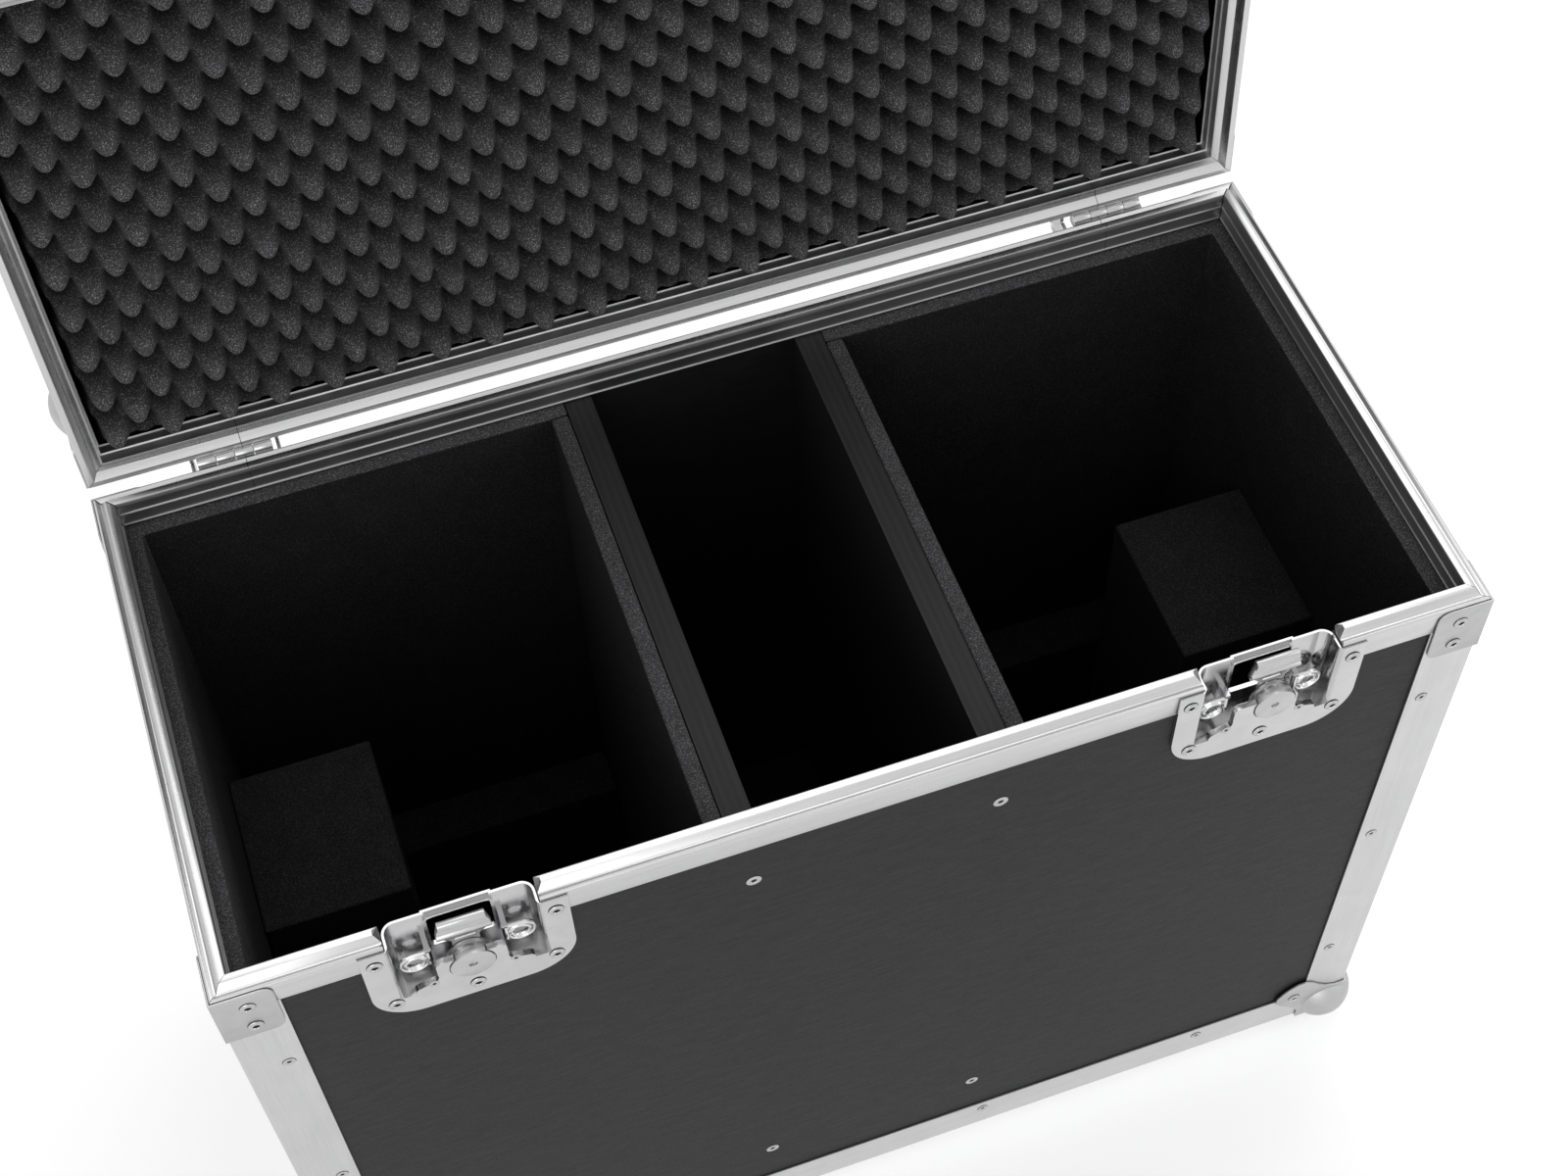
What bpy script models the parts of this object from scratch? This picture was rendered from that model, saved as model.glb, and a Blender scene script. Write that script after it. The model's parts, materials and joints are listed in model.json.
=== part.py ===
# Road case with a hinged lid, two turn latches, side handles and foam lining
import math

import bmesh
import bpy
from mathutils import Matrix, Vector

# Whole case, in metres: faces are those of the edge extrusions
CASE_WIDTH = 0.660
CASE_DEPTH = 0.3073
BASE_HEIGHT = 0.4785
LID_HEIGHT = 0.0625
FACE_STEP = 0.0015
PANEL = 0.007
GAP = 0.0003
OVERRUN = 0.002
OPEN_ANGLE = math.radians(94.75)

# Edge extrusions and rim braces
EDGE_LEG = 0.0302
EDGE_SHEET = 0.0012
EDGE_ROUND = 0.0008
BRACE_SHEET = 0.001
BRACE_LEG = 0.0289
BRACE_HEIGHT = 0.041
BRACE_STEP = 0.0015
BRACE_ROUND = 0.006

# Rim extrusions: depth below the rim plane of each level, inset of each face
SKIRT_DEPTH = 0.018
RIM_SHEET = 0.0012
RIM_SLOT_INSET = 0.0088
RIM_WALL_INSET = 0.0102
RIM_RIB_INSET = 0.0110
RIM_RIB_EDGE = 0.0004
RIM_RIB_FACE = 0.0006
RIM_RIB_DEPTH = 0.0066
RIM_WALL_DEPTH = 0.0155
BASE_WEB_DEPTH = 0.0028
BASE_SHOULDER_INSET = 0.0011
BASE_SHOULDER_DEPTH = 0.0014
BASE_SHOULDER_DROP = 0.0003
BASE_RIDGE_HEIGHT = 0.0030
BASE_RIDGE_INSET = 0.0029
BASE_RIDGE_WIDTH = 0.0009
BASE_GROOVE_INSET = 0.0064
BASE_GROOVE_WIDTH = 0.0012
BASE_GROOVE_DEPTH = 0.0014
BASE_INNER_INSET = 0.0092
BASE_INNER_WIDTH = 0.0011
LID_LIP_WIDTH = 0.0009
LID_GROOVE_INSET = 0.0024
LID_GROOVE_WIDTH = 0.0013
LID_GROOVE_HEIGHT = 0.0040
LID_RIDGE_INSET = 0.0064
LID_RIDGE_WIDTH = 0.0010
LID_RIDGE_DEPTH = 0.0006
LID_RECESS_INSET = 0.0090
LID_RECESS_HEIGHT = 0.0044
LID_WEB_HEIGHT = 0.0061
LID_RIB_HEIGHT = 0.0118
LID_WALL_HEIGHT = 0.0184

# Ball corners: sphere, its centre inside the faces, petals on the faces
BALL_RADIUS = 0.0213
BALL_INSET = 0.011
BALL_SHEET = 0.0012
BALL_FLAT = 0.0005
PETAL_SHEET = 0.0011
PETAL_REACH = 0.0505
PETAL_SHARES = (
    (0.61, 0.14), (0.68, 0.28), (0.79, 0.40), (0.91, 0.50), (0.98, 0.60),
    (0.98, 0.72), (0.91, 0.83), (0.83, 0.91), (0.72, 0.98), (0.60, 0.98),
    (0.50, 0.91), (0.40, 0.79), (0.28, 0.68), (0.14, 0.61),
)
PETAL_ROOT_SHARE = 0.61

# Inside: dividers, linings, blocks and strips
DIVIDER_CENTRE = 0.067
DIVIDER_SHEET = 0.015
LINING = 0.010
INSIDE_TOP_DEPTH = 0.0165
BLOCK_LENGTH = 0.082
BLOCK_DEPTH = 0.100
BLOCK_HEIGHT = 0.310
BLOCK_LEFT_Y = 0.011
BLOCK_RIGHT_Y = 0.004
STRIP_DEPTH = 0.031
STRIP_HEIGHT = 0.0985

# Lid foam: a sheet of staggered points
FOAM_BACK = 0.010
FOAM_TIP_HEIGHT = 0.006
FOAM_VALLEY = 0.033
FOAM_PITCH_X = 0.01465
FOAM_PITCH_Y = 0.0143
FOAM_SIDE = 0.011
FOAM_FIRST_ROW = 0.022
FOAM_MARGIN = 0.0005

# Hinges: knuckles and lid-stay cheeks
HINGE_INSET = 0.0775
HINGE_OFFSET = 0.00385
KNUCKLE_RADIUS = 0.0037
KNUCKLE_LENGTH = 0.0102
KNUCKLE_COUNT = 4
PIN_RADIUS = 0.0016
PIN_PLAY = 0.0003
LEAF_SHEET = 0.0012
LEAF_HALF = 0.0260
LEAF_START = 0.006
LEAF_END = 0.034
LEAF_ROUND = 0.003
CHEEK_X = 0.0233
CHEEK_SHEET = 0.002
CHEEK_INNER = 0.009
CHEEK_OUTER = 0.029
CHEEK_FOOT = 0.031
CHEEK_ROUND = 0.002

# Latch dishes: pressed plate, recess and raised platform
LATCH_INSET = 0.1205
DISH_SHEET = 0.0012
DISH_FLANGE = 0.001
DISH_PLATE_HALF = 0.0512
DISH_PLATE_BOTTOM = 0.071
DISH_PLATE_ROUND = 0.025
DISH_TOP = 0.0034
DISH_DEPTH = 0.01395
DISH_HALF = 0.0362
DISH_BOTTOM = 0.054
DISH_CORNER = 0.005
DISH_MOUTH = 0.003
DISH_PLAY = 0.0006
PLATFORM_TOP = 0.0315
PLATFORM_HALF = 0.0176
PLATFORM_SHOULDER = 0.0448
PLATFORM_FOOT_HALF = 0.0295
PLATFORM_FOOT = 0.0495
PLATFORM_LIP = 0.0032
CAGE_HALF = 0.0158
CAGE_TOP = 0.0075
CAGE_BOTTOM = 0.0345
CAGE_BEAD = 0.0012
CAGE_ROUND = 0.0015
RELIEF_HALF = 0.0160
RELIEF_DEPTH = 0.0009
RELIEF_BOTTOM = 0.0066

# Hub, claw, wings and their pivots
HUB_DROP = 0.0400
HUB_RADIUS = 0.0112
HUB_HEIGHT = 0.0080
HUB_PROUD = 0.0007
HUB_BORE_DEPTH = 0.0040
HUB_KEY_RADIUS = 0.0022
HUB_KEY_DEPTH = 0.0008
NOTCH_PLAY = 0.0006
SPINDLE_RADIUS = 0.0025
RIGHT_HUB_SHIFT = 0.0050
RIGHT_HUB_RISE = 0.0030
CLAW_SHEET = 0.0015
CLAW_PROUD = 0.0024
CLAW_BEAD = 0.0021
CLAW_TOP_DROP = 0.0055
CLAW_BAR_DROP = 0.0198
CLAW_TOP_HALF = 0.0115
CLAW_BAR_HALF = 0.0138
CLAW_TAIL_HALF = 0.0070
CLAW_TAIL_DROP = 0.0458
CLAW_STROKE = 0.008
CLAW_PLAY = 0.0005
WING_DROP = 0.0375
WING_PIVOT = 0.0192
WING_SETBACK = 0.0080
WING_CENTRE = 0.0079
WING_RADIUS = 0.0055
WING_WIRE = 0.0011
KNOT_RADIUS = 0.0018
KNOT_HALF = 0.0023
KNOT_BORE = 0.0011
KNOT_PIN = 0.0008
EAR_HALF = 0.0012
EAR_HEIGHT = 0.0013

# Keepers on the lid
KEEPER_HALF = 0.022
KEEPER_TOP = 0.030
KEEPER_SHEET = 0.0012
KEEPER_ROUND = 0.005
TONGUE_HALF = 0.0140
TONGUE_DROP = 0.009
TONGUE_FRONT = 0.00945
TONGUE_WEB_GAP = 0.0003
TONGUE_ROUND = 0.003
KEEPER_NOTCH_PLAY = 0.0015

# Side handles
HANDLE_DROP = 0.215
HANDLE_FLANGE_HALF_Y = 0.0800
HANDLE_FLANGE_HALF_Z = 0.0540
HANDLE_HALF_Y = 0.0640
HANDLE_HALF_Z = 0.0390
HANDLE_DEPTH = 0.0140
HANDLE_ROUND = 0.010
HANDLE_FLANGE_ROUND = 0.012
BAIL_WIRE = 0.0035
BAIL_HALF = 0.0520
BAIL_DROP = 0.0560
BAIL_TOP_SINK = 0.0100
BAIL_ROUND = 0.010
GRIP_RADIUS = 0.0055
GRIP_HALF = 0.0360
LUG_Y = 0.0300
LUG_HALF = 0.0050
LUG_WALL = 0.0014
LUG_PLAY = 0.0004

# Counts of segments round arcs, wires and spheres
ARC_STEPS = 4
CIRCLE_SIDES = 20
SMALL_SIDES = 12
WIRE_SIDES = 8
RING_STEPS = 16
SPHERE_SEGMENTS = 18
SPHERE_RINGS = 10
INNER_SEGMENTS = 12
INNER_RINGS = 6
CREASE = math.radians(35)

# Places that follow from the sizes
HALF_X = CASE_WIDTH / 2
HALF_Y = CASE_DEPTH / 2
RIM_Z = BASE_HEIGHT - FACE_STEP
LID_TOP = RIM_Z + LID_HEIGHT
PANEL_X = HALF_X - FACE_STEP
PANEL_Y = HALF_Y - FACE_STEP
INNER_X = PANEL_X - PANEL
INNER_Y = PANEL_Y - PANEL
FLOOR_Z = PANEL + GAP
INSIDE_TOP = RIM_Z - INSIDE_TOP_DEPTH
HINGE_Y = HALF_Y + HINGE_OFFSET
DISH_FRONT = GAP + DISH_FLANGE
DISH_FLOOR = DISH_FRONT - DISH_DEPTH
HINGE_X = HALF_X - HINGE_INSET
LATCH_X = HALF_X - LATCH_INSET
FOAM_COLUMNS = 2 * int((INNER_X - FOAM_SIDE) / FOAM_PITCH_X) + 1
FOAM_ROWS = 1 + int((HALF_Y - FOAM_FIRST_ROW + INNER_Y - FOAM_SIDE) / FOAM_PITCH_Y)

# Colours: laminate, extrusion, pressed steel, foam and divider wood
LAMINATE = (0.046, 0.047, 0.049, 1.0)
ALUMINIUM = (0.78, 0.78, 0.79, 1.0)
STEEL = (0.70, 0.70, 0.71, 1.0)
ZINC = (0.62, 0.62, 0.63, 1.0)
FOAM = (0.030, 0.030, 0.032, 1.0)
PLY = (0.055, 0.053, 0.052, 1.0)
GRIP_BLACK = (0.02, 0.02, 0.02, 1.0)


def clear_scene():
    """Remove every object that the new file holds."""
    for obj in list(bpy.data.objects):
        bpy.data.objects.remove(obj, do_unlink=True)


def new_object(name, bm):
    """Link a closed mesh as an object, with its faces turned outward."""
    bmesh.ops.recalc_face_normals(bm, faces=bm.faces)
    mesh = bpy.data.meshes.new(name)
    bm.to_mesh(mesh)
    bm.free()
    obj = bpy.data.objects.new(name, mesh)
    bpy.context.scene.collection.objects.link(obj)
    return obj


def close_tube(bm, rings, joined):
    """Skin a row of vertex rings, capped at its ends or joined round."""
    count = len(rings)
    for i in range(count if joined else count - 1):
        here, there = rings[i], rings[(i + 1) % count]
        for j in range(len(here)):
            k = (j + 1) % len(here)
            bm.faces.new((here[j], here[k], there[k], there[j]))
    if not joined:
        bm.faces.new(rings[0])
        bm.faces.new(rings[-1])


def prism(name, outline, axis, low, high):
    """Extrude an outline along x, y or z; it lists the other two axes in order."""
    order = {"x": (2, 0, 1), "y": (0, 2, 1), "z": (0, 1, 2)}[axis]
    bm = bmesh.new()
    rings = []
    for level in (low, high):
        points = [(a, b, level) for a, b in outline]
        rings.append([bm.verts.new([p[i] for i in order]) for p in points])
    close_tube(bm, rings, False)
    return new_object(name, bm)


def box(name, low, high):
    """A block between two corners."""
    outline = [(low[0], low[1]), (high[0], low[1]), (high[0], high[1]), (low[0], high[1])]
    return prism(name, outline, "z", low[2], high[2])


def circle(a, b, radius, sides):
    """Outline of a circle."""
    turn = [2 * math.pi * i / sides for i in range(sides)]
    return [(a + radius * math.cos(t), b + radius * math.sin(t)) for t in turn]


def rounded(corners):
    """Outline with arcs: each corner is (a, b, radius)."""
    outline = []
    count = len(corners)
    for i, (a, b, radius) in enumerate(corners):
        if radius == 0:
            outline.append((a, b))
            continue
        corner = Vector((a, b))
        back = (Vector(corners[i - 1][:2]) - corner).normalized()
        ahead = (Vector(corners[(i + 1) % count][:2]) - corner).normalized()
        half = back.angle(ahead) / 2
        centre = corner + (back + ahead).normalized() * (radius / math.sin(half))
        start = corner + back * (radius / math.tan(half)) - centre
        end = corner + ahead * (radius / math.tan(half)) - centre
        first = math.atan2(start.y, start.x)
        sweep = (math.atan2(end.y, end.x) - first + math.pi) % (2 * math.pi) - math.pi
        for k in range(ARC_STEPS + 1):
            turn = first + sweep * k / ARC_STEPS
            outline.append((centre.x + radius * math.cos(turn), centre.y + radius * math.sin(turn)))
    return outline


def rectangle(half_a, low_b, high_b, radius, middle=0.0):
    """Rounded rectangle that is centred in its first axis."""
    low, high = middle - half_a, middle + half_a
    return rounded([(low, low_b, radius), (high, low_b, radius),
                    (high, high_b, radius), (low, high_b, radius)])


def frame_ring(name, section, half_x, half_y):
    """Sweep a section (inset, height) round the case, mitred at four corners."""
    bm = bmesh.new()
    rings = []
    for sx, sy in ((-1, -1), (1, -1), (1, 1), (-1, 1)):
        rings.append([bm.verts.new((sx * (half_x - s), sy * (half_y - s), h)) for s, h in section])
    close_tube(bm, rings, True)
    return new_object(name, bm)


def frame_run(name, section, stations):
    """Sweep a section along stations (x, y, inset direction x, inset direction y)."""
    bm = bmesh.new()
    rings = []
    for x, y, inward_x, inward_y in stations:
        rings.append([bm.verts.new((x + inward_x * s, y + inward_y * s, h)) for s, h in section])
    close_tube(bm, rings, False)
    return new_object(name, bm)


def wire_loop(name, path, normal, radius, sides):
    """Round wire along a flat closed path."""
    bm = bmesh.new()
    rings = []
    count = len(path)
    for i, point in enumerate(path):
        here = Vector(point)
        before = (here - Vector(path[i - 1])).normalized()
        after = (Vector(path[(i + 1) % count]) - here).normalized()
        tangent = (before + after).normalized()
        side = normal.cross(tangent)
        stretch = 1 / max(tangent.dot(after), math.cos(math.pi / 4))
        ring = []
        for k in range(sides):
            turn = 2 * math.pi * k / sides
            reach = side * (radius * math.cos(turn) * stretch) + normal * (radius * math.sin(turn))
            ring.append(bm.verts.new(here + reach))
        rings.append(ring)
    close_tube(bm, rings, True)
    return new_object(name, bm)


def sphere(name, centre, radius, segments, rings):
    """A ball."""
    bm = bmesh.new()
    bmesh.ops.create_uvsphere(bm, u_segments=segments, v_segments=rings, radius=radius)
    bmesh.ops.translate(bm, verts=bm.verts, vec=centre)
    return new_object(name, bm)


def combine(target, tool, operation):
    """Join a solid to the target or cut it away, and drop the tool."""
    modifier = target.modifiers.new("shape", "BOOLEAN")
    modifier.object = tool
    modifier.operation = operation
    modifier.solver = "EXACT"
    bpy.context.view_layer.update()
    graph = bpy.context.evaluated_depsgraph_get()
    mesh = bpy.data.meshes.new_from_object(target.evaluated_get(graph))
    target.modifiers.clear()
    target.data = mesh
    bpy.data.objects.remove(tool, do_unlink=True)
    return target


def join(target, *tools):
    """Fuse solids to the target."""
    for tool in tools:
        combine(target, tool, "UNION")
    return target


def cut(target, *tools):
    """Cut solids out of the target."""
    for tool in tools:
        combine(target, tool, "DIFFERENCE")
    return target


def mirrored(source, name, scale, offset):
    """Copy of a solid, mirrored by signs and moved."""
    bm = bmesh.new()
    bm.from_mesh(source.data)
    matrix = Matrix.Translation(offset) @ Matrix.Diagonal((*scale, 1))
    bmesh.ops.transform(bm, matrix=matrix, verts=bm.verts)
    return new_object(name, bm)


def finish(obj, colour, roughness, metallic, smooth=True):
    """Give a node its own material and shade its round faces smooth."""
    material = bpy.data.materials.new(obj.name + "_finish")
    material.use_nodes = True
    shader = material.node_tree.nodes["Principled BSDF"]
    shader.inputs["Base Color"].default_value = colour
    shader.inputs["Roughness"].default_value = roughness
    shader.inputs["Metallic"].default_value = metallic
    obj.data.materials.clear()
    obj.data.materials.append(material)
    obj.data.name = obj.name
    if smooth:
        obj.data.shade_smooth()
        obj.data.set_sharp_from_angle(angle=CREASE)
    return obj


def pivot_at(obj, point):
    """Move a node's origin onto its joint without moving the node."""
    obj.data.transform(Matrix.Translation(-Vector(point)))
    obj.location = point
    return obj


def lid_axis():
    """Empty on the hinge line that holds the lid open."""
    axis = bpy.data.objects.new("lid_axis", None)
    bpy.context.scene.collection.objects.link(axis)
    axis.location = (0, HINGE_Y, RIM_Z)
    axis.rotation_euler = (-OPEN_ANGLE, 0, 0)
    return axis


def hang_on(obj, axis):
    """Carry a node, modelled in the closed pose, by the lid's axis."""
    obj.data.transform(Matrix.Translation(-axis.location))
    obj.parent = axis
    return obj


def panels():
    """Five laminated panels, with cut-outs for latches and handles."""
    top = RIM_Z - BASE_WEB_DEPTH - GAP
    parts = [box("bottom_panel", (-PANEL_X, -PANEL_Y, 0), (PANEL_X, PANEL_Y, PANEL))]
    span = INNER_X - GAP
    for name, low, high in (("front_panel", -PANEL_Y, -INNER_Y), ("back_panel", INNER_Y, PANEL_Y)):
        parts.append(box(name, (-span, low, FLOOR_Z), (span, high, top)))
    for name, low, high in (("left_panel", -PANEL_X, -INNER_X), ("right_panel", INNER_X, PANEL_X)):
        panel = box(name, (low, -PANEL_Y, FLOOR_Z), (high, PANEL_Y, top))
        half_y = HANDLE_HALF_Y + DISH_SHEET + DISH_PLAY
        half_z = HANDLE_HALF_Z + DISH_SHEET + DISH_PLAY
        middle = RIM_Z - HANDLE_DROP
        hole = rectangle(half_y, middle - half_z, middle + half_z, HANDLE_ROUND)
        parts.append(cut(panel, prism("hole", hole, "x", low - OVERRUN, high + OVERRUN)))
    half = DISH_HALF + DISH_SHEET + DISH_PLAY
    bottom = RIM_Z - DISH_BOTTOM - DISH_SHEET - DISH_PLAY
    for x in (-LATCH_X, LATCH_X):
        low = (x - half, -PANEL_Y - OVERRUN, bottom)
        cut(parts[1], box("hole", low, (x + half, -INNER_Y + OVERRUN, RIM_Z)))
    for panel in parts:
        finish(panel, LAMINATE, 0.62, 0.0, False)


def corner_edges():
    """Upright angle extrusions on the four corners of the base."""
    low = EDGE_LEG - FACE_STEP + GAP
    high = RIM_Z - SKIRT_DEPTH - GAP
    for name, sx, sy in (("front_left", -1, -1), ("front_right", 1, -1),
                         ("back_left", -1, 1), ("back_right", 1, 1)):
        corners = [(0, 0, EDGE_ROUND), (EDGE_LEG, 0, 0), (EDGE_LEG, EDGE_SHEET, 0),
                   (EDGE_SHEET, EDGE_SHEET, 0), (EDGE_SHEET, EDGE_LEG, 0), (0, EDGE_LEG, 0)]
        outline = [(sx * (HALF_X - a), sy * (HALF_Y - b)) for a, b in rounded(corners)]
        edge = prism("edge_" + name, outline, "z", low, high)
        finish(edge, ALUMINIUM, 0.34, 1.0)


def bottom_edges():
    """Angle extrusions round the bottom, mitred and joined in one frame."""
    low, high = -FACE_STEP, EDGE_LEG - FACE_STEP
    section = rounded([(0, low, EDGE_ROUND), (EDGE_LEG, low, 0), (EDGE_LEG, low + EDGE_SHEET, 0),
                       (EDGE_SHEET, low + EDGE_SHEET, 0), (EDGE_SHEET, high, 0), (0, high, 0)])
    finish(frame_ring("bottom_edge_frame", section, HALF_X, HALF_Y), ALUMINIUM, 0.34, 1.0)


def brace_shell(name, low, high):
    """Folded rim brace in inward distances from two faces, rounded at its free corners."""
    start = -(GAP + BRACE_SHEET)
    outline = rounded([(start, low, 0), (start, high, 0),
                       (BRACE_LEG, high, BRACE_ROUND), (BRACE_LEG, low, BRACE_ROUND)])
    return join(prism(name, outline, "y", start, -GAP), prism("side", outline, "x", start, -GAP))


def braces():
    """Braces on the four corners of the base's rim."""
    high = RIM_Z - BRACE_STEP
    brace = brace_shell("brace", high - BRACE_HEIGHT, high)
    for name, sx, sy in (("front_left", -1, -1), ("front_right", 1, -1),
                         ("back_left", -1, 1), ("back_right", 1, 1)):
        copy = mirrored(brace, "brace_" + name, (-sx, -sy, 1), (sx * HALF_X, sy * HALF_Y, 0))
        finish(copy, STEEL, 0.25, 1.0)
    bpy.data.objects.remove(brace, do_unlink=True)


def ball_shell(name, flat):
    """Ball corner in inward distances from three faces that meet at the origin."""
    centre = (BALL_INSET, BALL_INSET, BALL_INSET)
    shell = sphere(name, centre, BALL_RADIUS, SPHERE_SEGMENTS, SPHERE_RINGS)
    start = -(GAP + PETAL_SHEET)
    root = PETAL_REACH * PETAL_ROOT_SHARE
    outline = [(start, start), (root, start)]
    outline += [(PETAL_REACH * a, PETAL_REACH * b) for a, b in PETAL_SHARES]
    outline.append((start, root))
    for axis in ("x", "y", "z"):
        join(shell, prism("petal", outline, axis, start, -GAP))
    deep = PETAL_REACH + OVERRUN
    cut(shell, box("case", (-GAP, -GAP, -GAP), (deep, deep, deep)))
    hollow = sphere("hollow", centre, BALL_RADIUS - BALL_SHEET, INNER_SEGMENTS, INNER_RINGS)
    cut(shell, hollow)
    if flat:
        low = BALL_INSET - BALL_RADIUS
        wide = BALL_INSET + BALL_RADIUS
        cut(shell, box("foot", (-wide, -wide, low - OVERRUN), (wide, wide, low + BALL_FLAT)))
    return shell


def ball_corners(axis):
    """Ball corners under the base, and ball corners with rim braces on the lid."""
    base_ball = ball_shell("base_ball", True)
    low = LID_HEIGHT - BRACE_STEP - BRACE_HEIGHT
    lid_ball = join(ball_shell("lid_ball", False), brace_shell("brace", low, low + BRACE_HEIGHT))
    for name, sx, sy in (("front_left", -1, -1), ("front_right", 1, -1),
                         ("back_left", -1, 1), ("back_right", 1, 1)):
        offset = (sx * HALF_X, sy * HALF_Y, -FACE_STEP)
        ball = mirrored(base_ball, "ball_corner_" + name, (-sx, -sy, 1), offset)
        finish(ball, STEEL, 0.22, 1.0)
        offset = (sx * HALF_X, sy * HALF_Y, LID_TOP)
        corner = mirrored(lid_ball, "lid_corner_" + name, (-sx, -sy, -1), offset)
        hang_on(finish(corner, STEEL, 0.22, 1.0), axis)
    bpy.data.objects.remove(base_ball, do_unlink=True)
    bpy.data.objects.remove(lid_ball, do_unlink=True)


def inner_wall(levels, top, bottom):
    """Inner wall of a rim from its top to its lower edge, with ribs at the given levels."""
    points = []
    for level in levels:
        points += [(RIM_WALL_INSET, level + RIM_RIB_FACE), (RIM_RIB_INSET, level + RIM_RIB_EDGE / 2),
                   (RIM_RIB_INSET, level - RIM_RIB_EDGE / 2), (RIM_WALL_INSET, level - RIM_RIB_FACE)]
    first = [(RIM_RIB_INSET, top), (RIM_WALL_INSET, top - RIM_RIB_FACE)]
    last = [(RIM_WALL_INSET, bottom + RIM_RIB_FACE), (RIM_RIB_INSET, bottom + RIM_RIB_EDGE),
            (RIM_RIB_INSET, bottom), (RIM_SLOT_INSET, bottom)]
    return first + points + last


def base_rim_section():
    """Closure profile of the base: shoulder, ridge, groove, inner ridge and ribbed wall."""
    ridge_top = BASE_RIDGE_HEIGHT
    section = [
        (0, -SKIRT_DEPTH),
        (0, -BASE_SHOULDER_DEPTH),
        (BASE_SHOULDER_INSET, -BASE_SHOULDER_DROP),
        (BASE_RIDGE_INSET, ridge_top),
        (BASE_RIDGE_INSET + BASE_RIDGE_WIDTH, ridge_top),
        (BASE_GROOVE_INSET, -BASE_GROOVE_DEPTH),
        (BASE_GROOVE_INSET + BASE_GROOVE_WIDTH, -BASE_GROOVE_DEPTH),
        (BASE_INNER_INSET, ridge_top),
        (BASE_INNER_INSET + BASE_INNER_WIDTH, ridge_top),
    ]
    section += inner_wall([-RIM_RIB_DEPTH], 0, -RIM_WALL_DEPTH)
    section += [(RIM_SLOT_INSET, -BASE_WEB_DEPTH), (RIM_SHEET, -BASE_WEB_DEPTH),
                (RIM_SHEET, -SKIRT_DEPTH)]
    return [(s, RIM_Z + h) for s, h in section]


def lid_rim_section():
    """Closure profile of the lid, which fits over that of the base."""
    groove_end = LID_GROOVE_INSET + LID_GROOVE_WIDTH
    wall = inner_wall([-LID_RIB_HEIGHT], -LID_RECESS_HEIGHT, -LID_WALL_HEIGHT)
    section = [
        (0, -SKIRT_DEPTH),
        (0, 0),
        (LID_LIP_WIDTH, 0),
        (LID_GROOVE_INSET, -LID_GROOVE_HEIGHT),
        (groove_end, -LID_GROOVE_HEIGHT),
        (LID_RIDGE_INSET, LID_RIDGE_DEPTH),
        (LID_RIDGE_INSET + LID_RIDGE_WIDTH, LID_RIDGE_DEPTH),
        (LID_RECESS_INSET, -LID_RECESS_HEIGHT),
    ]
    section += wall
    section += [(RIM_SLOT_INSET, -LID_WEB_HEIGHT), (RIM_SHEET, -LID_WEB_HEIGHT),
                (RIM_SHEET, -SKIRT_DEPTH)]
    return [(s, RIM_Z - h) for s, h in section]


def base_rims():
    """Four lengths of rim on the base, cut away at the latches."""
    section = base_rim_section()
    half = DISH_HALF + DISH_SHEET + DISH_PLAY
    inner, outer = LATCH_X - half, LATCH_X + half
    front = [(-inner, -HALF_Y, 0, 1), (inner, -HALF_Y, 0, 1)]
    left = [(-outer, -HALF_Y, 0, 1), (-HALF_X, -HALF_Y, 1, 1), (-HALF_X, HALF_Y - GAP, 1, -1)]
    right = [(outer, -HALF_Y, 0, 1), (HALF_X, -HALF_Y, -1, 1), (HALF_X, HALF_Y - GAP, -1, -1)]
    back = [(-HALF_X + GAP, HALF_Y, 1, -1), (HALF_X - GAP, HALF_Y, -1, -1)]
    for name, stations in (("front", front), ("left", left), ("right", right), ("back", back)):
        finish(frame_run("rim_" + name, section, stations), ALUMINIUM, 0.30, 1.0)


def dividers():
    """Two plywood dividers, each with a foam sheet on its outer side."""
    half_y = INNER_Y - GAP
    for name, side in (("left", -1), ("right", 1)):
        near = DIVIDER_CENTRE - DIVIDER_SHEET / 2
        far = DIVIDER_CENTRE + DIVIDER_SHEET / 2
        xs = sorted((side * near, side * far))
        panel = box("divider_" + name, (xs[0], -half_y, FLOOR_Z), (xs[1], half_y, INSIDE_TOP))
        finish(panel, PLY, 0.7, 0.0, False)
        foam_y = half_y - LINING - GAP
        xs = sorted((side * (far + GAP), side * (far + GAP + LINING)))
        foam = box("divider_foam_" + name, (xs[0], -foam_y, FLOOR_Z), (xs[1], foam_y, INSIDE_TOP))
        finish(foam, FOAM, 0.95, 0.0, False)


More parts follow.
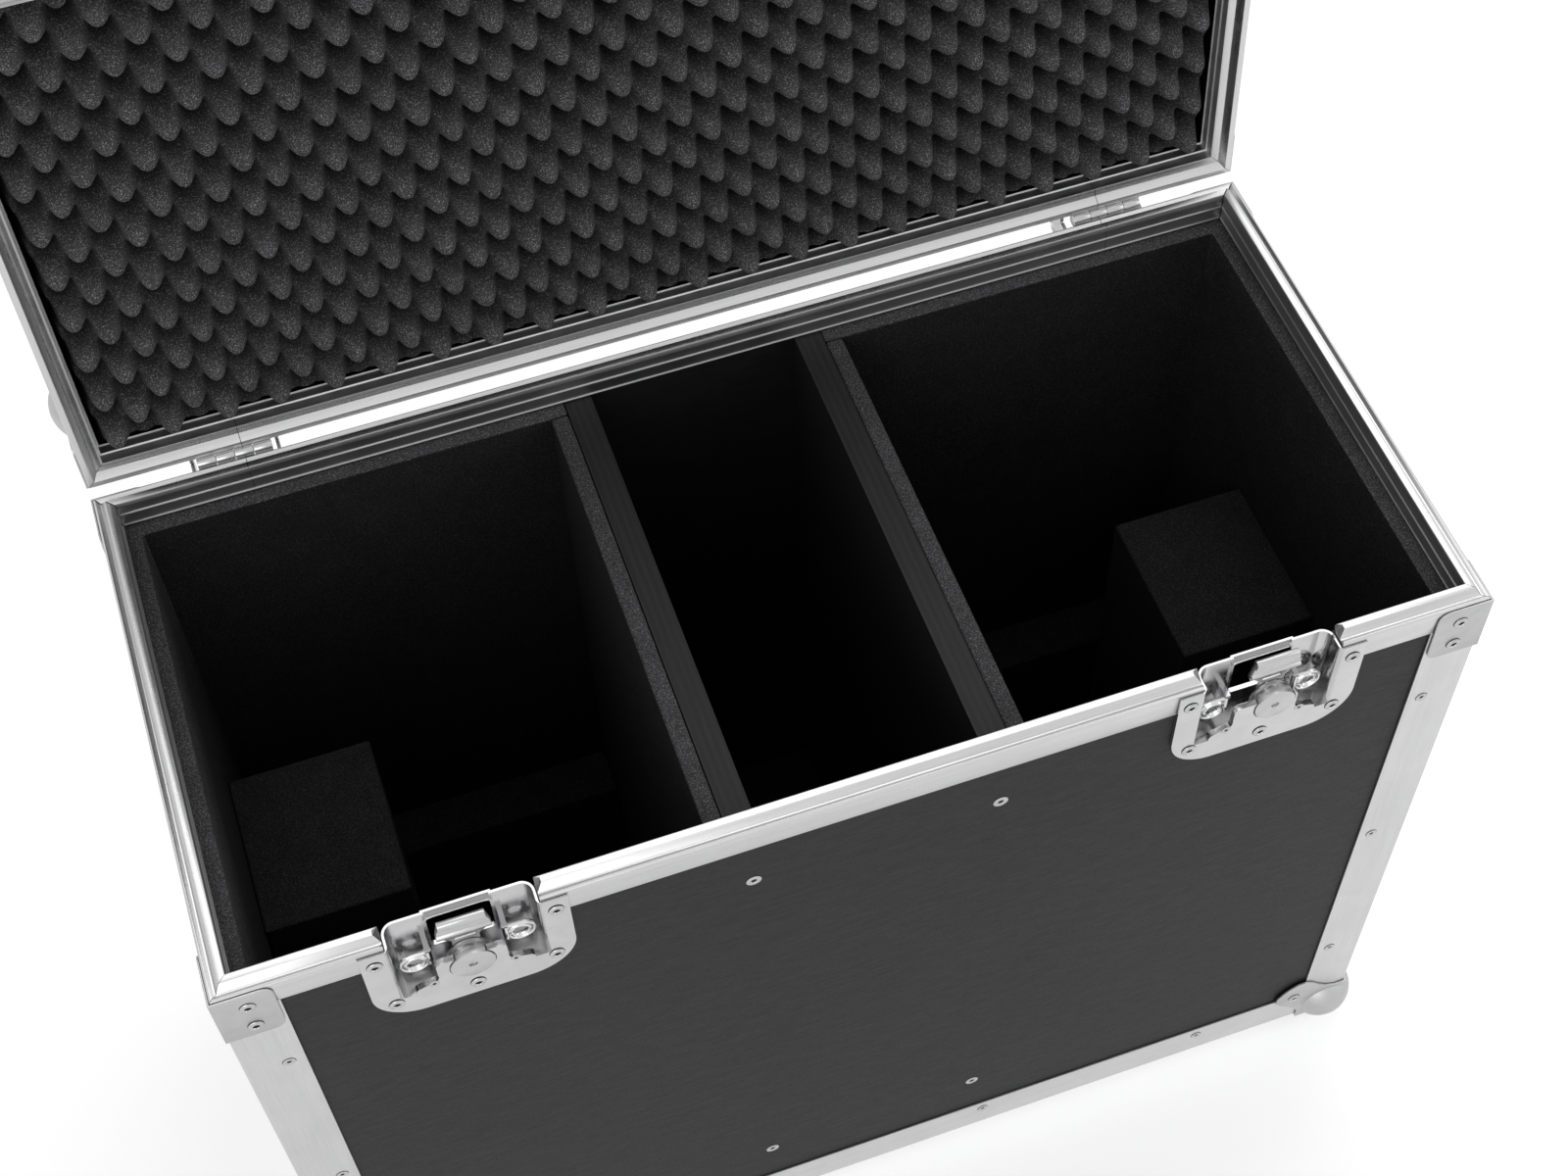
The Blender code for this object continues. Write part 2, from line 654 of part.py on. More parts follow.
def linings():
    """Foam lining of three walls of each outer bay, cut out round the dishes."""
    outer_x, outer_y = INNER_X - GAP, INNER_Y - GAP
    inner_x, inner_y = outer_x - LINING, outer_y - LINING
    mouth = DIVIDER_CENTRE + DIVIDER_SHEET / 2 + GAP
    for name, side in (("left", -1), ("right", 1)):
        plan = [(mouth, -outer_y), (outer_x, -outer_y), (outer_x, outer_y), (mouth, outer_y),
                (mouth, inner_y), (inner_x, inner_y), (inner_x, -inner_y), (mouth, -inner_y)]
        foam = prism("lining_" + name, [(side * a, b) for a, b in plan], "z", FLOOR_Z, INSIDE_TOP)
        half = DISH_HALF + DISH_SHEET + DISH_PLAY
        low = (side * LATCH_X - half, -outer_y - OVERRUN, RIM_Z - DISH_BOTTOM - DISH_SHEET - DISH_PLAY)
        cut(foam, box("latch_notch", low, (side * LATCH_X + half, -inner_y + OVERRUN, RIM_Z)))
        middle = RIM_Z - HANDLE_DROP
        half_y = HANDLE_HALF_Y + DISH_SHEET + DISH_PLAY
        half_z = HANDLE_HALF_Z + DISH_SHEET + DISH_PLAY
        xs = sorted((side * (inner_x - OVERRUN), side * (outer_x + OVERRUN)))
        cut(foam, box("handle_hole", (xs[0], -half_y, middle - half_z),
                      (xs[1], half_y, middle + half_z)))
        finish(foam, FOAM, 0.95, 0.0, False)


def blocks_and_strips():
    """Foam blocks at the ends, and a low foam strip along the back of each outer bay."""
    end = INNER_X - GAP - LINING - GAP
    back = INNER_Y - GAP - LINING - GAP
    near = DIVIDER_CENTRE + DIVIDER_SHEET / 2 + GAP + LINING + GAP
    for name, side, y in (("left", -1, BLOCK_LEFT_Y), ("right", 1, BLOCK_RIGHT_Y)):
        xs = sorted((side * end, side * (end - BLOCK_LENGTH)))
        low = (xs[0], y - BLOCK_DEPTH / 2, FLOOR_Z + GAP)
        high = (xs[1], y + BLOCK_DEPTH / 2, FLOOR_Z + GAP + BLOCK_HEIGHT)
        finish(box("foam_block_" + name, low, high), FOAM, 0.95, 0.0, False)
        xs = sorted((side * near, side * end))
        low = (xs[0], back - STRIP_DEPTH, FLOOR_Z + GAP)
        high = (xs[1], back, FLOOR_Z + GAP + STRIP_HEIGHT)
        finish(box("foam_strip_" + name, low, high), FOAM, 0.95, 0.0, False)


def platform(hub_x, hub_z):
    """Raised platform of a latch dish, with its turned-in lip and the notch for the hub."""
    def outline(inset):
        foot = -DISH_BOTTOM - DISH_SHEET / 2
        half, wide = PLATFORM_HALF - inset, PLATFORM_FOOT_HALF - inset
        side = [(half, -PLATFORM_TOP - inset), (half, -PLATFORM_SHOULDER - inset),
                (wide, -PLATFORM_FOOT - inset), (wide, foot)]
        return [(-a, b) for a, b in side] + side[::-1]

    back = -DISH_FRONT + PLATFORM_LIP
    plate = prism("platform", outline(0), "y", -DISH_FRONT, back)
    hollow = prism("hollow", outline(DISH_SHEET), "y", -DISH_FRONT + DISH_SHEET, back + OVERRUN)
    cut(plate, hollow)
    notch = circle(hub_x, hub_z, HUB_RADIUS + NOTCH_PLAY, CIRCLE_SIDES)
    return cut(plate, prism("notch", notch, "y", -DISH_FRONT - OVERRUN, back + OVERRUN))


def pivot_ears(x, z):
    """Two ears on the dish floor with a pin between them, for one wing."""
    front = -DISH_FRONT + WING_SETBACK - EAR_HALF
    back = -DISH_FLOOR + DISH_SHEET / 2
    start = KNOT_HALF + GAP
    upper = box("ear", (x - EAR_HALF, front, z + start), (x + EAR_HALF, back, z + start + EAR_HEIGHT))
    lower = box("ear", (x - EAR_HALF, front, z - start - EAR_HEIGHT), (x + EAR_HALF, back, z - start))
    pin = circle(x, -DISH_FRONT + WING_SETBACK, KNOT_PIN, SMALL_SIDES)
    length = start + EAR_HEIGHT / 2
    return join(upper, prism("pin", pin, "z", z - length, z + length), lower)


def dish_plan(half, mouth_half, front, floor, corner, mouth_round):
    """Plan of a recess: open mouth, side walls and rounded back corners."""
    return rounded([(-mouth_half, front, 0), (-half, front + (mouth_half - half), mouth_round),
                    (-half, floor, corner), (half, floor, corner),
                    (half, front + (mouth_half - half), mouth_round), (mouth_half, front, 0)])


def latch_dish(name, hub):
    """Pressed dish of a latch: plate, recess, platform, cage opening, spindle and ears."""
    def plate(top):
        half, low = DISH_PLATE_HALF, -DISH_PLATE_BOTTOM
        return rounded([(-half, top, 0), (half, top, 0), (half, low, DISH_PLATE_ROUND),
                        (-half, low, DISH_PLATE_ROUND)])

    top = -DISH_TOP
    middle = -DISH_FRONT + DISH_FLANGE / 2
    dish = prism(name, plate(top), "y", -DISH_FRONT, -DISH_FRONT + DISH_FLANGE)
    join(dish, prism("seat", plate(-SKIRT_DEPTH - GAP), "y", middle, FACE_STEP - GAP))
    wall = DISH_HALF + DISH_SHEET
    back = -DISH_FLOOR + DISH_SHEET
    outer = dish_plan(wall, wall, middle, back, DISH_CORNER + DISH_SHEET, 0)
    join(dish, prism("shell", outer, "z", -DISH_BOTTOM - DISH_SHEET, top))
    relief = (back + RELIEF_DEPTH, -DISH_FLOOR + RELIEF_DEPTH)
    join(dish, box("joggle", (-RELIEF_HALF - DISH_SHEET, back - DISH_SHEET / 2, -RELIEF_BOTTOM),
                   (RELIEF_HALF + DISH_SHEET, relief[0], top)))
    inner = dish_plan(DISH_HALF, DISH_HALF + DISH_MOUTH, -DISH_FRONT - DISH_MOUTH / 3, -DISH_FLOOR,
                      DISH_CORNER, DISH_MOUTH)
    cut(dish, prism("recess", inner, "z", -DISH_BOTTOM, top + OVERRUN))
    cut(dish, box("relief", (-RELIEF_HALF, -DISH_FLOOR - OVERRUN, -RELIEF_BOTTOM + DISH_SHEET),
                  (RELIEF_HALF, relief[1], top + OVERRUN)))
    bead = rectangle(CAGE_HALF + CAGE_BEAD, -CAGE_BOTTOM - CAGE_BEAD, -CAGE_TOP + CAGE_BEAD / 2,
                     CAGE_ROUND)
    join(dish, prism("bead", bead, "y", -DISH_FLOOR - CAGE_BEAD, -DISH_FLOOR + DISH_SHEET / 2))
    hole = rectangle(CAGE_HALF, -CAGE_BOTTOM, -CAGE_TOP, CAGE_ROUND)
    cut(dish, prism("cage", hole, "y", -DISH_FLOOR - OVERRUN, back + OVERRUN))
    join(dish, platform(*hub))
    reach = -DISH_FRONT - HUB_PROUD + HUB_HEIGHT - HUB_BORE_DEPTH + GAP
    spindle = circle(*hub, SPINDLE_RADIUS, SMALL_SIDES)
    join(dish, prism("spindle", spindle, "y", reach, -DISH_FLOOR + DISH_SHEET / 2))
    for wing_x in (-WING_PIVOT, WING_PIVOT):
        join(dish, pivot_ears(wing_x, -WING_DROP))
    return finish(dish, STEEL, 0.24, 1.0)


def latch_hub(name, hub):
    """Turning hub with a key recess in its face and a bore for the spindle."""
    front = -DISH_FRONT - HUB_PROUD
    back = front + HUB_HEIGHT
    body = prism(name, circle(*hub, HUB_RADIUS, CIRCLE_SIDES), "y", front, back)
    bore = circle(*hub, SPINDLE_RADIUS + GAP, SMALL_SIDES)
    cut(body, prism("bore", bore, "y", back - HUB_BORE_DEPTH, back + OVERRUN))
    key = circle(*hub, HUB_KEY_RADIUS, 6)
    cut(body, prism("key", key, "y", front - OVERRUN, front + HUB_KEY_DEPTH))
    return pivot_at(finish(body, ZINC, 0.28, 1.0), (hub[0], back, hub[1]))


def latch_claw(name, x, z, hub):
    """Claw: rolled bead, bar and tail plate with a window for the spindle."""
    back = -DISH_FRONT - HUB_PROUD + HUB_HEIGHT + GAP
    front = back - CLAW_PROUD
    depth = back + CLAW_SHEET
    top, bar = z - CLAW_TOP_DROP, z - CLAW_BAR_DROP
    tail = z - CLAW_TAIL_DROP
    round_top = circle(front + CLAW_BEAD, top - CLAW_BEAD, CLAW_BEAD, SMALL_SIDES)
    body = prism(name, rounded([(front, top - CLAW_BEAD, 0), (front, bar, CLAW_PLAY),
                                (back, bar, 0), (back, tail, 0), (depth, tail, 0),
                                (depth, top - CLAW_BEAD, 0)]), "x",
                 x - CLAW_BAR_HALF, x + CLAW_BAR_HALF)
    join(body, prism("bead", round_top, "x", x - CLAW_BAR_HALF, x + CLAW_BAR_HALF))
    slope = [(CLAW_TOP_HALF, top + OVERRUN), (CLAW_TOP_HALF, top - CLAW_BEAD),
             (CLAW_BAR_HALF, bar + CLAW_BEAD), (CLAW_BAR_HALF, bar - CLAW_BEAD),
             (CLAW_TAIL_HALF, bar - CLAW_BEAD - (CLAW_BAR_HALF - CLAW_TAIL_HALF)),
             (CLAW_TAIL_HALF, tail - OVERRUN)]
    wide = CLAW_BAR_HALF + OVERRUN
    for side in (-1, 1):
        edge = [(x + side * a, b) for a, b in slope]
        edge += [(x + side * wide, tail - OVERRUN), (x + side * wide, top + OVERRUN)]
        cut(body, prism("trim", edge, "y", front - OVERRUN, depth + OVERRUN))
    reach = SPINDLE_RADIUS + CLAW_PLAY
    window = rectangle(reach, hub[1] - reach, hub[1] + CLAW_STROKE + reach, CLAW_PLAY, hub[0])
    cut(body, prism("window", window, "y", front - OVERRUN, depth + OVERRUN))
    return pivot_at(finish(body, ZINC, 0.24, 1.0), (x, depth, z - CLAW_TOP_DROP))


def latch_wing(name, x, z, side):
    """Wire ring with a bored knuckle on its pivot."""
    y = -DISH_FRONT + WING_SETBACK
    centre = x + side * WING_CENTRE
    path = [(a, y, b) for a, b in circle(centre, z, WING_RADIUS, RING_STEPS)]
    ring = wire_loop(name, path, Vector((0, -1, 0)), WING_WIRE, WIRE_SIDES)
    knot = circle(x, y, KNOT_RADIUS, SMALL_SIDES)
    join(ring, prism("knot", knot, "z", z - KNOT_HALF, z + KNOT_HALF))
    bore = circle(x, y, KNOT_BORE, SMALL_SIDES)
    cut(ring, prism("bore", bore, "z", z - KNOT_HALF - OVERRUN, z + KNOT_HALF + OVERRUN))
    return pivot_at(finish(ring, STEEL, 0.2, 1.0), (x, y, z))


def latches():
    """Both latches, each modelled about the point where the front face meets the rim plane.

    The right one stands part way through its turn, as it was left.
    """
    for name, side, shift, rise in (("left", -1, 0, 0), ("right", 1, RIGHT_HUB_SHIFT, RIGHT_HUB_RISE)):
        hub = (shift, rise - HUB_DROP)
        parts = [latch_dish("latch_dish_" + name, hub)]
        parts.append(latch_hub("hub_" + name, hub))
        parts.append(latch_claw("claw_" + name, shift, rise, hub))
        parts.append(latch_wing(f"wing_{name}_outer", side * WING_PIVOT, -WING_DROP, side))
        parts.append(latch_wing(f"wing_{name}_inner", -side * WING_PIVOT, -WING_DROP, -side))
        for part in parts:
            part.location += Vector((side * LATCH_X, -HALF_Y, RIM_Z))


def keeper(name, x, axis):
    """Keeper of a latch: plate on the lid's face with a tongue that enters the dish."""
    face = -HALF_Y - GAP
    high = RIM_Z + LID_GROOVE_HEIGHT - TONGUE_WEB_GAP
    low = high - KEEPER_SHEET
    plate = prism(name, rectangle(KEEPER_HALF, low, RIM_Z + KEEPER_TOP, KEEPER_ROUND, x), "y",
                  face - KEEPER_SHEET, face)
    back = -HALF_Y + TONGUE_FRONT + KEEPER_SHEET
    web = box("web", (x - TONGUE_HALF, face - KEEPER_SHEET / 2, low), (x + TONGUE_HALF, back, high))
    tongue = rounded([(x - TONGUE_HALF, high, 0), (x + TONGUE_HALF, high, 0),
                      (x + TONGUE_HALF, RIM_Z - TONGUE_DROP, TONGUE_ROUND),
                      (x - TONGUE_HALF, RIM_Z - TONGUE_DROP, TONGUE_ROUND)])
    join(plate, web, prism("tongue", tongue, "y", back - KEEPER_SHEET, back))
    return hang_on(finish(plate, STEEL, 0.25, 1.0), axis)


def lid_shell(axis):
    """Lid box, edge frame and rim, modelled closed and hung on the lid's axis."""
    low = RIM_Z + LID_WEB_HEIGHT + GAP
    high = LID_TOP - FACE_STEP
    body = box("lid_box", (-PANEL_X, -PANEL_Y, low), (PANEL_X, PANEL_Y, high))
    cut(body, box("hollow", (-INNER_X, -INNER_Y, low - OVERRUN), (INNER_X, INNER_Y, high - PANEL)))
    hang_on(finish(body, LAMINATE, 0.62, 0.0, False), axis)
    top, sheet = LID_TOP, LID_TOP - EDGE_SHEET
    section = rounded([(0, top, EDGE_ROUND), (EDGE_LEG, top, 0), (EDGE_LEG, sheet, 0),
                       (EDGE_SHEET, sheet, 0), (EDGE_SHEET, top - EDGE_LEG, 0),
                       (0, top - EDGE_LEG, 0)])
    frame = frame_ring("lid_edge_frame", section, HALF_X, HALF_Y)
    start = RIM_Z + SKIRT_DEPTH + GAP
    for sx, sy in ((-1, -1), (1, -1), (1, 1), (-1, 1)):
        corners = [(0, 0), (EDGE_LEG, 0), (EDGE_LEG, EDGE_SHEET), (EDGE_SHEET, EDGE_SHEET),
                   (EDGE_SHEET, EDGE_LEG), (0, EDGE_LEG)]
        outline = [(sx * (HALF_X - a), sy * (HALF_Y - b)) for a, b in corners]
        join(frame, prism("upright", outline, "z", start, top - EDGE_LEG + OVERRUN))
    hang_on(finish(frame, ALUMINIUM, 0.34, 1.0), axis)
    rim = frame_ring("lid_rim", lid_rim_section(), HALF_X, HALF_Y)
    half = TONGUE_HALF + KEEPER_NOTCH_PLAY
    for x in (-LATCH_X, LATCH_X):
        cut(rim, box("notch", (x - half, -HALF_Y - OVERRUN, RIM_Z - OVERRUN),
                     (x + half, -HALF_Y + RIM_RIB_INSET + OVERRUN, RIM_Z + LID_GROOVE_HEIGHT)))
    hang_on(finish(rim, ALUMINIUM, 0.30, 1.0), axis)


def lid_foam(axis):
    """Convoluted foam sheet: points and hollows that alternate like a chessboard."""
    half_x, half_y = INNER_X - FOAM_MARGIN, INNER_Y - FOAM_MARGIN
    back = LID_TOP - FACE_STEP - PANEL - GAP
    base = back - FOAM_BACK
    valley = RIM_Z + FOAM_TIP_HEIGHT + FOAM_VALLEY
    tip = RIM_Z + FOAM_TIP_HEIGHT
    middle = (tip + valley) / 2
    xs = [(c - (FOAM_COLUMNS - 1) / 2) * FOAM_PITCH_X for c in range(FOAM_COLUMNS)]
    first = HALF_Y - FOAM_FIRST_ROW
    ys = [first - r * FOAM_PITCH_Y for r in range(FOAM_ROWS)]
    bm = bmesh.new()
    grid = []
    for r, y in enumerate([half_y] + ys + [-half_y]):
        row = []
        for c, x in enumerate([-half_x] + xs + [half_x]):
            edge = r in (0, FOAM_ROWS + 1) or c in (0, FOAM_COLUMNS + 1)
            z = base if edge else (tip if (r + c) % 2 == 0 else valley)
            row.append(bm.verts.new((x, y, z)))
        grid.append(row)
    for r in range(len(grid) - 1):
        for c in range(len(grid[0]) - 1):
            ring = (grid[r][c], grid[r][c + 1], grid[r + 1][c + 1], grid[r + 1][c])
            inside = 0 < r < FOAM_ROWS and 0 < c < FOAM_COLUMNS
            if not inside:
                bm.faces.new(ring[:3])
                bm.faces.new((ring[0], ring[2], ring[3]))
                continue
            centre = bm.verts.new(((ring[0].co.x + ring[1].co.x) / 2,
                                   (ring[0].co.y + ring[3].co.y) / 2, middle))
            for k in range(4):
                bm.faces.new((ring[k], ring[(k + 1) % 4], centre))
    rim = grid[0] + [row[-1] for row in grid[1:-1]] + grid[-1][::-1]
    rim += [row[0] for row in grid[-2:0:-1]]
    lower = [bm.verts.new((v.co.x, v.co.y, back)) for v in rim]
    for i in range(len(rim)):
        j = (i + 1) % len(rim)
        bm.faces.new((rim[i], rim[j], lower[j], lower[i]))
    bm.faces.new(lower)
    hang_on(finish(new_object("lid_foam", bm), FOAM, 0.95, 0.0, False), axis)


def cheek(name, x, up):
    """Lid-stay cheek: a fan from the leaf to the stop edge at half the opening angle."""
    stop = -OPEN_ANGLE / 2
    along = Vector((math.cos(stop), math.sin(stop)))
    across = Vector((math.sin(stop), -math.cos(stop))) * (GAP / 2)
    foot = -HINGE_OFFSET + GAP + LEAF_SHEET / 2
    inner = along * CHEEK_INNER + across
    outer = along * CHEEK_OUTER + across
    corners = [(foot, -LEAF_START - CHEEK_ROUND, 0), (inner.x, inner.y, CHEEK_ROUND),
               (outer.x, outer.y, CHEEK_ROUND), (foot, -CHEEK_FOOT, 0)]
    outline = [(HINGE_Y + a, RIM_Z + up * b) for a, b in rounded(corners)]
    return prism(name, outline, "x", x - CHEEK_SHEET / 2, x + CHEEK_SHEET / 2)


def hinge_leaf(name, x, up, first):
    """Leaf of a hinge on the back face, with knuckles and two lid-stay cheeks."""
    near = HALF_Y + GAP
    far = near + LEAF_SHEET
    ends = sorted((RIM_Z + up * -LEAF_START, RIM_Z + up * -LEAF_END))
    leaf = prism(name, rectangle(LEAF_HALF, ends[0], ends[1], LEAF_ROUND, x), "y", near, far)
    start = x - KNUCKLE_COUNT * KNUCKLE_LENGTH / 2
    for k in range(first, KNUCKLE_COUNT, 2):
        low = start + k * KNUCKLE_LENGTH + GAP / 2
        high = low + KNUCKLE_LENGTH - GAP
        tab = sorted((RIM_Z, RIM_Z + up * -(LEAF_START + LEAF_SHEET)))
        join(leaf, box("tab", (low, near, tab[0]), (high, far, tab[1])))
        barrel = circle(HINGE_Y, RIM_Z, KNUCKLE_RADIUS, CIRCLE_SIDES)
        join(leaf, prism("barrel", barrel, "x", low, high))
    for side in (-1, 1):
        join(leaf, cheek("cheek", x + side * CHEEK_X, up))
    return leaf


def hinges(axis):
    """Two hinges: the base leaf carries the pin, the lid leaf turns on it."""
    length = KNUCKLE_COUNT * KNUCKLE_LENGTH / 2
    for name, x in (("left", -HINGE_X), ("right", HINGE_X)):
        base = hinge_leaf("hinge_leaf_" + name, x, 1, 0)
        pin = circle(HINGE_Y, RIM_Z, PIN_RADIUS, SMALL_SIDES)
        join(base, prism("pin", pin, "x", x - length, x + length))
        finish(base, ALUMINIUM, 0.28, 1.0)
        leaf = hinge_leaf("lid_leaf_" + name, x, -1, 1)
        bore = circle(HINGE_Y, RIM_Z, PIN_RADIUS + PIN_PLAY, SMALL_SIDES)
        cut(leaf, prism("bore", bore, "x", x - length - OVERRUN, x + length + OVERRUN))
        hang_on(finish(leaf, ALUMINIUM, 0.28, 1.0), axis)


def handle_dish(name, side):
    """Recessed dish of a side handle, with two lugs for the bail."""
    middle = RIM_Z - HANDLE_DROP
    near = PANEL_X + GAP
    face = near + DISH_FLANGE
    floor = face - HANDLE_DEPTH

    def slab(label, outline, low, high):
        ends = sorted((side * low, side * high))
        return prism(label, outline, "x", ends[0], ends[1])

    flange = rectangle(HANDLE_FLANGE_HALF_Y, middle - HANDLE_FLANGE_HALF_Z,
                       middle + HANDLE_FLANGE_HALF_Z, HANDLE_FLANGE_ROUND)
    dish = slab(name, flange, near, face)
    wall_y, wall_z = HANDLE_HALF_Y + DISH_SHEET, HANDLE_HALF_Z + DISH_SHEET
    shell = rectangle(wall_y, middle - wall_z, middle + wall_z, HANDLE_ROUND + DISH_SHEET)
    join(dish, slab("shell", shell, floor - DISH_SHEET, near + DISH_FLANGE / 2))
    recess = rectangle(HANDLE_HALF_Y, middle - HANDLE_HALF_Z, middle + HANDLE_HALF_Z, HANDLE_ROUND)
    cut(dish, slab("recess", recess, floor, face + OVERRUN))
    x, z = bail_axis(side)
    reach = BAIL_WIRE + LUG_PLAY
    for y in (-LUG_Y, LUG_Y):
        low = (side * (floor - DISH_SHEET / 2), y - LUG_HALF, z - reach - LUG_WALL)
        high = (x + side * (reach + LUG_WALL), y + LUG_HALF, z + reach + LUG_WALL)
        xs = sorted((low[0], high[0]))
        join(dish, box("lug", (xs[0], low[1], low[2]), (xs[1], high[1], high[2])))
    hole = circle(x, z, reach, SMALL_SIDES)
    long = LUG_Y + LUG_HALF + OVERRUN
    cut(dish, prism("bore", hole, "y", -long, long))
    return finish(dish, STEEL, 0.28, 1.0)


def bail_axis(side):
    """Place of a bail's turning line, as x and z."""
    floor = PANEL_X + GAP + DISH_FLANGE - HANDLE_DEPTH
    x = side * (floor + GRIP_RADIUS + GAP)
    return x, RIM_Z - HANDLE_DROP + HANDLE_HALF_Z - BAIL_TOP_SINK


def handle_bail(name, side):
    """Wire bail with a thick grip, hanging flat in its dish."""
    x, z = bail_axis(side)
    outline = rectangle(BAIL_HALF, z - BAIL_DROP, z, BAIL_ROUND)
    path = [(x, a, b) for a, b in outline]
    bail = wire_loop(name, path, Vector((1, 0, 0)), BAIL_WIRE, WIRE_SIDES)
    grip = circle(x, z - BAIL_DROP, GRIP_RADIUS, CIRCLE_SIDES)
    join(bail, prism("grip", grip, "y", -GRIP_HALF, GRIP_HALF))
    return pivot_at(finish(bail, GRIP_BLACK, 0.5, 0.0), (x, 0, z))


def handles():
    """A recessed handle on each end."""
    for name, side in (("left", -1), ("right", 1)):
        handle_dish("handle_dish_" + name, side)
        handle_bail("handle_bail_" + name, side)


def stand_at_origin():
    """Carry everything by an empty, so that the origin is below the middle of the case's box."""
    bpy.context.view_layer.update()
    nodes = [obj for obj in bpy.data.objects if obj.type == "MESH"]
    points = [obj.matrix_world @ vertex.co for obj in nodes for vertex in obj.data.vertices]
    low = [min(point[i] for point in points) for i in range(3)]
    high = [max(point[i] for point in points) for i in range(3)]
    root = bpy.data.objects.new("case_root", None)
    bpy.context.scene.collection.objects.link(root)
    for obj in list(bpy.data.objects):
        if obj.parent is None and obj is not root:
            obj.parent = root
    root.location = (-(low[0] + high[0]) / 2, -(low[1] + high[1]) / 2, -low[2])


def build():
    """Build the whole case with its lid open."""
    clear_scene()
    axis = lid_axis()
    panels()
    corner_edges()
    bottom_edges()
    braces()
    base_rims()
    dividers()
    linings()
    blocks_and_strips()
    latches()
    handles()
    lid_shell(axis)
    lid_foam(axis)
    ball_corners(axis)
    hinges(axis)
    for name, x in (("left", -LATCH_X), ("right", LATCH_X)):
        keeper("keeper_" + name, x, axis)
    stand_at_origin()


build()
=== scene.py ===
import json
import logging
import math
from dataclasses import dataclass
from enum import Enum
from typing import Callable, Iterable, Sequence

import bmesh
import bpy
from mathutils import Matrix, Vector, noise


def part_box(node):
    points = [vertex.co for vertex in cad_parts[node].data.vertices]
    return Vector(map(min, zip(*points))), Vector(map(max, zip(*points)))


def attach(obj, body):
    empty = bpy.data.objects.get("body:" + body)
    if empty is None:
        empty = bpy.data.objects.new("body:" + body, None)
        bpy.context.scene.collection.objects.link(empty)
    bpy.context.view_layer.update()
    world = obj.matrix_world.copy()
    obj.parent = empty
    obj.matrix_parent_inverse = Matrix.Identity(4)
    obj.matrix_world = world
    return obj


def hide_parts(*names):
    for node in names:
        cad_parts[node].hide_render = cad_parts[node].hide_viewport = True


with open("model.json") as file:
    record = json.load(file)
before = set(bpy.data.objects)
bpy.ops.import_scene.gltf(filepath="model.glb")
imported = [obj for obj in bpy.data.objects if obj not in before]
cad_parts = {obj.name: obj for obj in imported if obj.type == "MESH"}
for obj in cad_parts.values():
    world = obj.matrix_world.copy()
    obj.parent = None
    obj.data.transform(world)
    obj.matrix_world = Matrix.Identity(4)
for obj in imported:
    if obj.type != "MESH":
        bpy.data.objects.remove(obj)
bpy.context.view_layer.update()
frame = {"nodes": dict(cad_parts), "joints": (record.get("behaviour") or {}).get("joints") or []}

log = logging.getLogger("road_case")

SIDES = ("left", "right")
CORNERS = ("front_left", "front_right", "back_left", "back_right")
LATCH_INSET = 0.1205
OVER = 0.002
UPWARD = 0.9

Point = tuple[float, float, float]
Places = tuple[tuple[float, float], ...]
Outline = list[tuple[float, float]]


@dataclass(frozen=True)
class Spot:
    """A place for a small part: a point of the surface and the way the surface faces."""

    at: Vector
    facing: Vector
    twist: float = 0.0


class CaseFrame:
    """Main faces of the case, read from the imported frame."""

    ridge: float = 0.0030
    lid_height: float = 0.0625

    def __init__(self) -> None:
        """Read the faces of the rims, the hinge line and the opening angle."""
        left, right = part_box("rim_left"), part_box("rim_right")
        self.half_x: float = right[1][0]
        self.front: float = left[0][1]
        self.back: float = left[1][1]
        self.rim: float = left[1][2] - self.ridge
        self.top: float = self.rim + self.lid_height
        self.bottom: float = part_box("bottom_edge_frame")[0][2]
        self.middle: float = (self.front + self.back) / 2
        self.half_y: float = (self.back - self.front) / 2
        hinge = next(joint for joint in frame["joints"] if joint["name"] == "lid_hinge")
        self.hinge: Vector = Vector(hinge["pos_m"])
        self.open_angle: float = math.radians(hinge["range_deg"][1])

    def lid_matrix(self) -> Matrix:
        """Return the turn from the closed lid to the open lid of the rest pose."""
        turn = Matrix.Rotation(-self.open_angle, 4, "X")
        return Matrix.Translation(self.hinge) @ turn @ Matrix.Translation(-self.hinge)


CASE = CaseFrame()


def pick(obj: bpy.types.Object) -> bpy.types.Object:
    """Make one object the active one, with nothing else selected.

    Args:
        obj: The object to work on.

    Returns:
        The same object.
    """
    if bpy.context.object and bpy.context.object.mode != "OBJECT":
        bpy.ops.object.mode_set(mode="OBJECT")
    bpy.ops.object.select_all(action="DESELECT")
    obj.select_set(True)
    bpy.context.view_layer.objects.active = obj
    return obj


def edit(obj: bpy.types.Object, kind: str = "FACE") -> None:
    """Enter edit mode on one object with nothing selected in it.

    Args:
        obj: The mesh object.
        kind: What is selected next: VERT, EDGE or FACE.
    """
    pick(obj)
    bpy.ops.object.mode_set(mode="EDIT")
    bpy.ops.mesh.select_mode(type=kind)
    bpy.ops.mesh.select_all(action="DESELECT")


def select_faces(obj: bpy.types.Object, wanted: Callable[[bmesh.types.BMFace], bool]) -> None:
    """Select the faces of the mesh in edit mode that pass a test.

    Args:
        obj: The mesh object in edit mode.
        wanted: Test of a face, by its place or normal.
    """
    bm = bmesh.from_edit_mesh(obj.data)
    for face in bm.faces:
        face.select_set(wanted(face))
    bm.select_flush_mode()
    bmesh.update_edit_mesh(obj.data)


def leave() -> None:
    """Return to object mode."""
    bpy.ops.object.mode_set(mode="OBJECT")


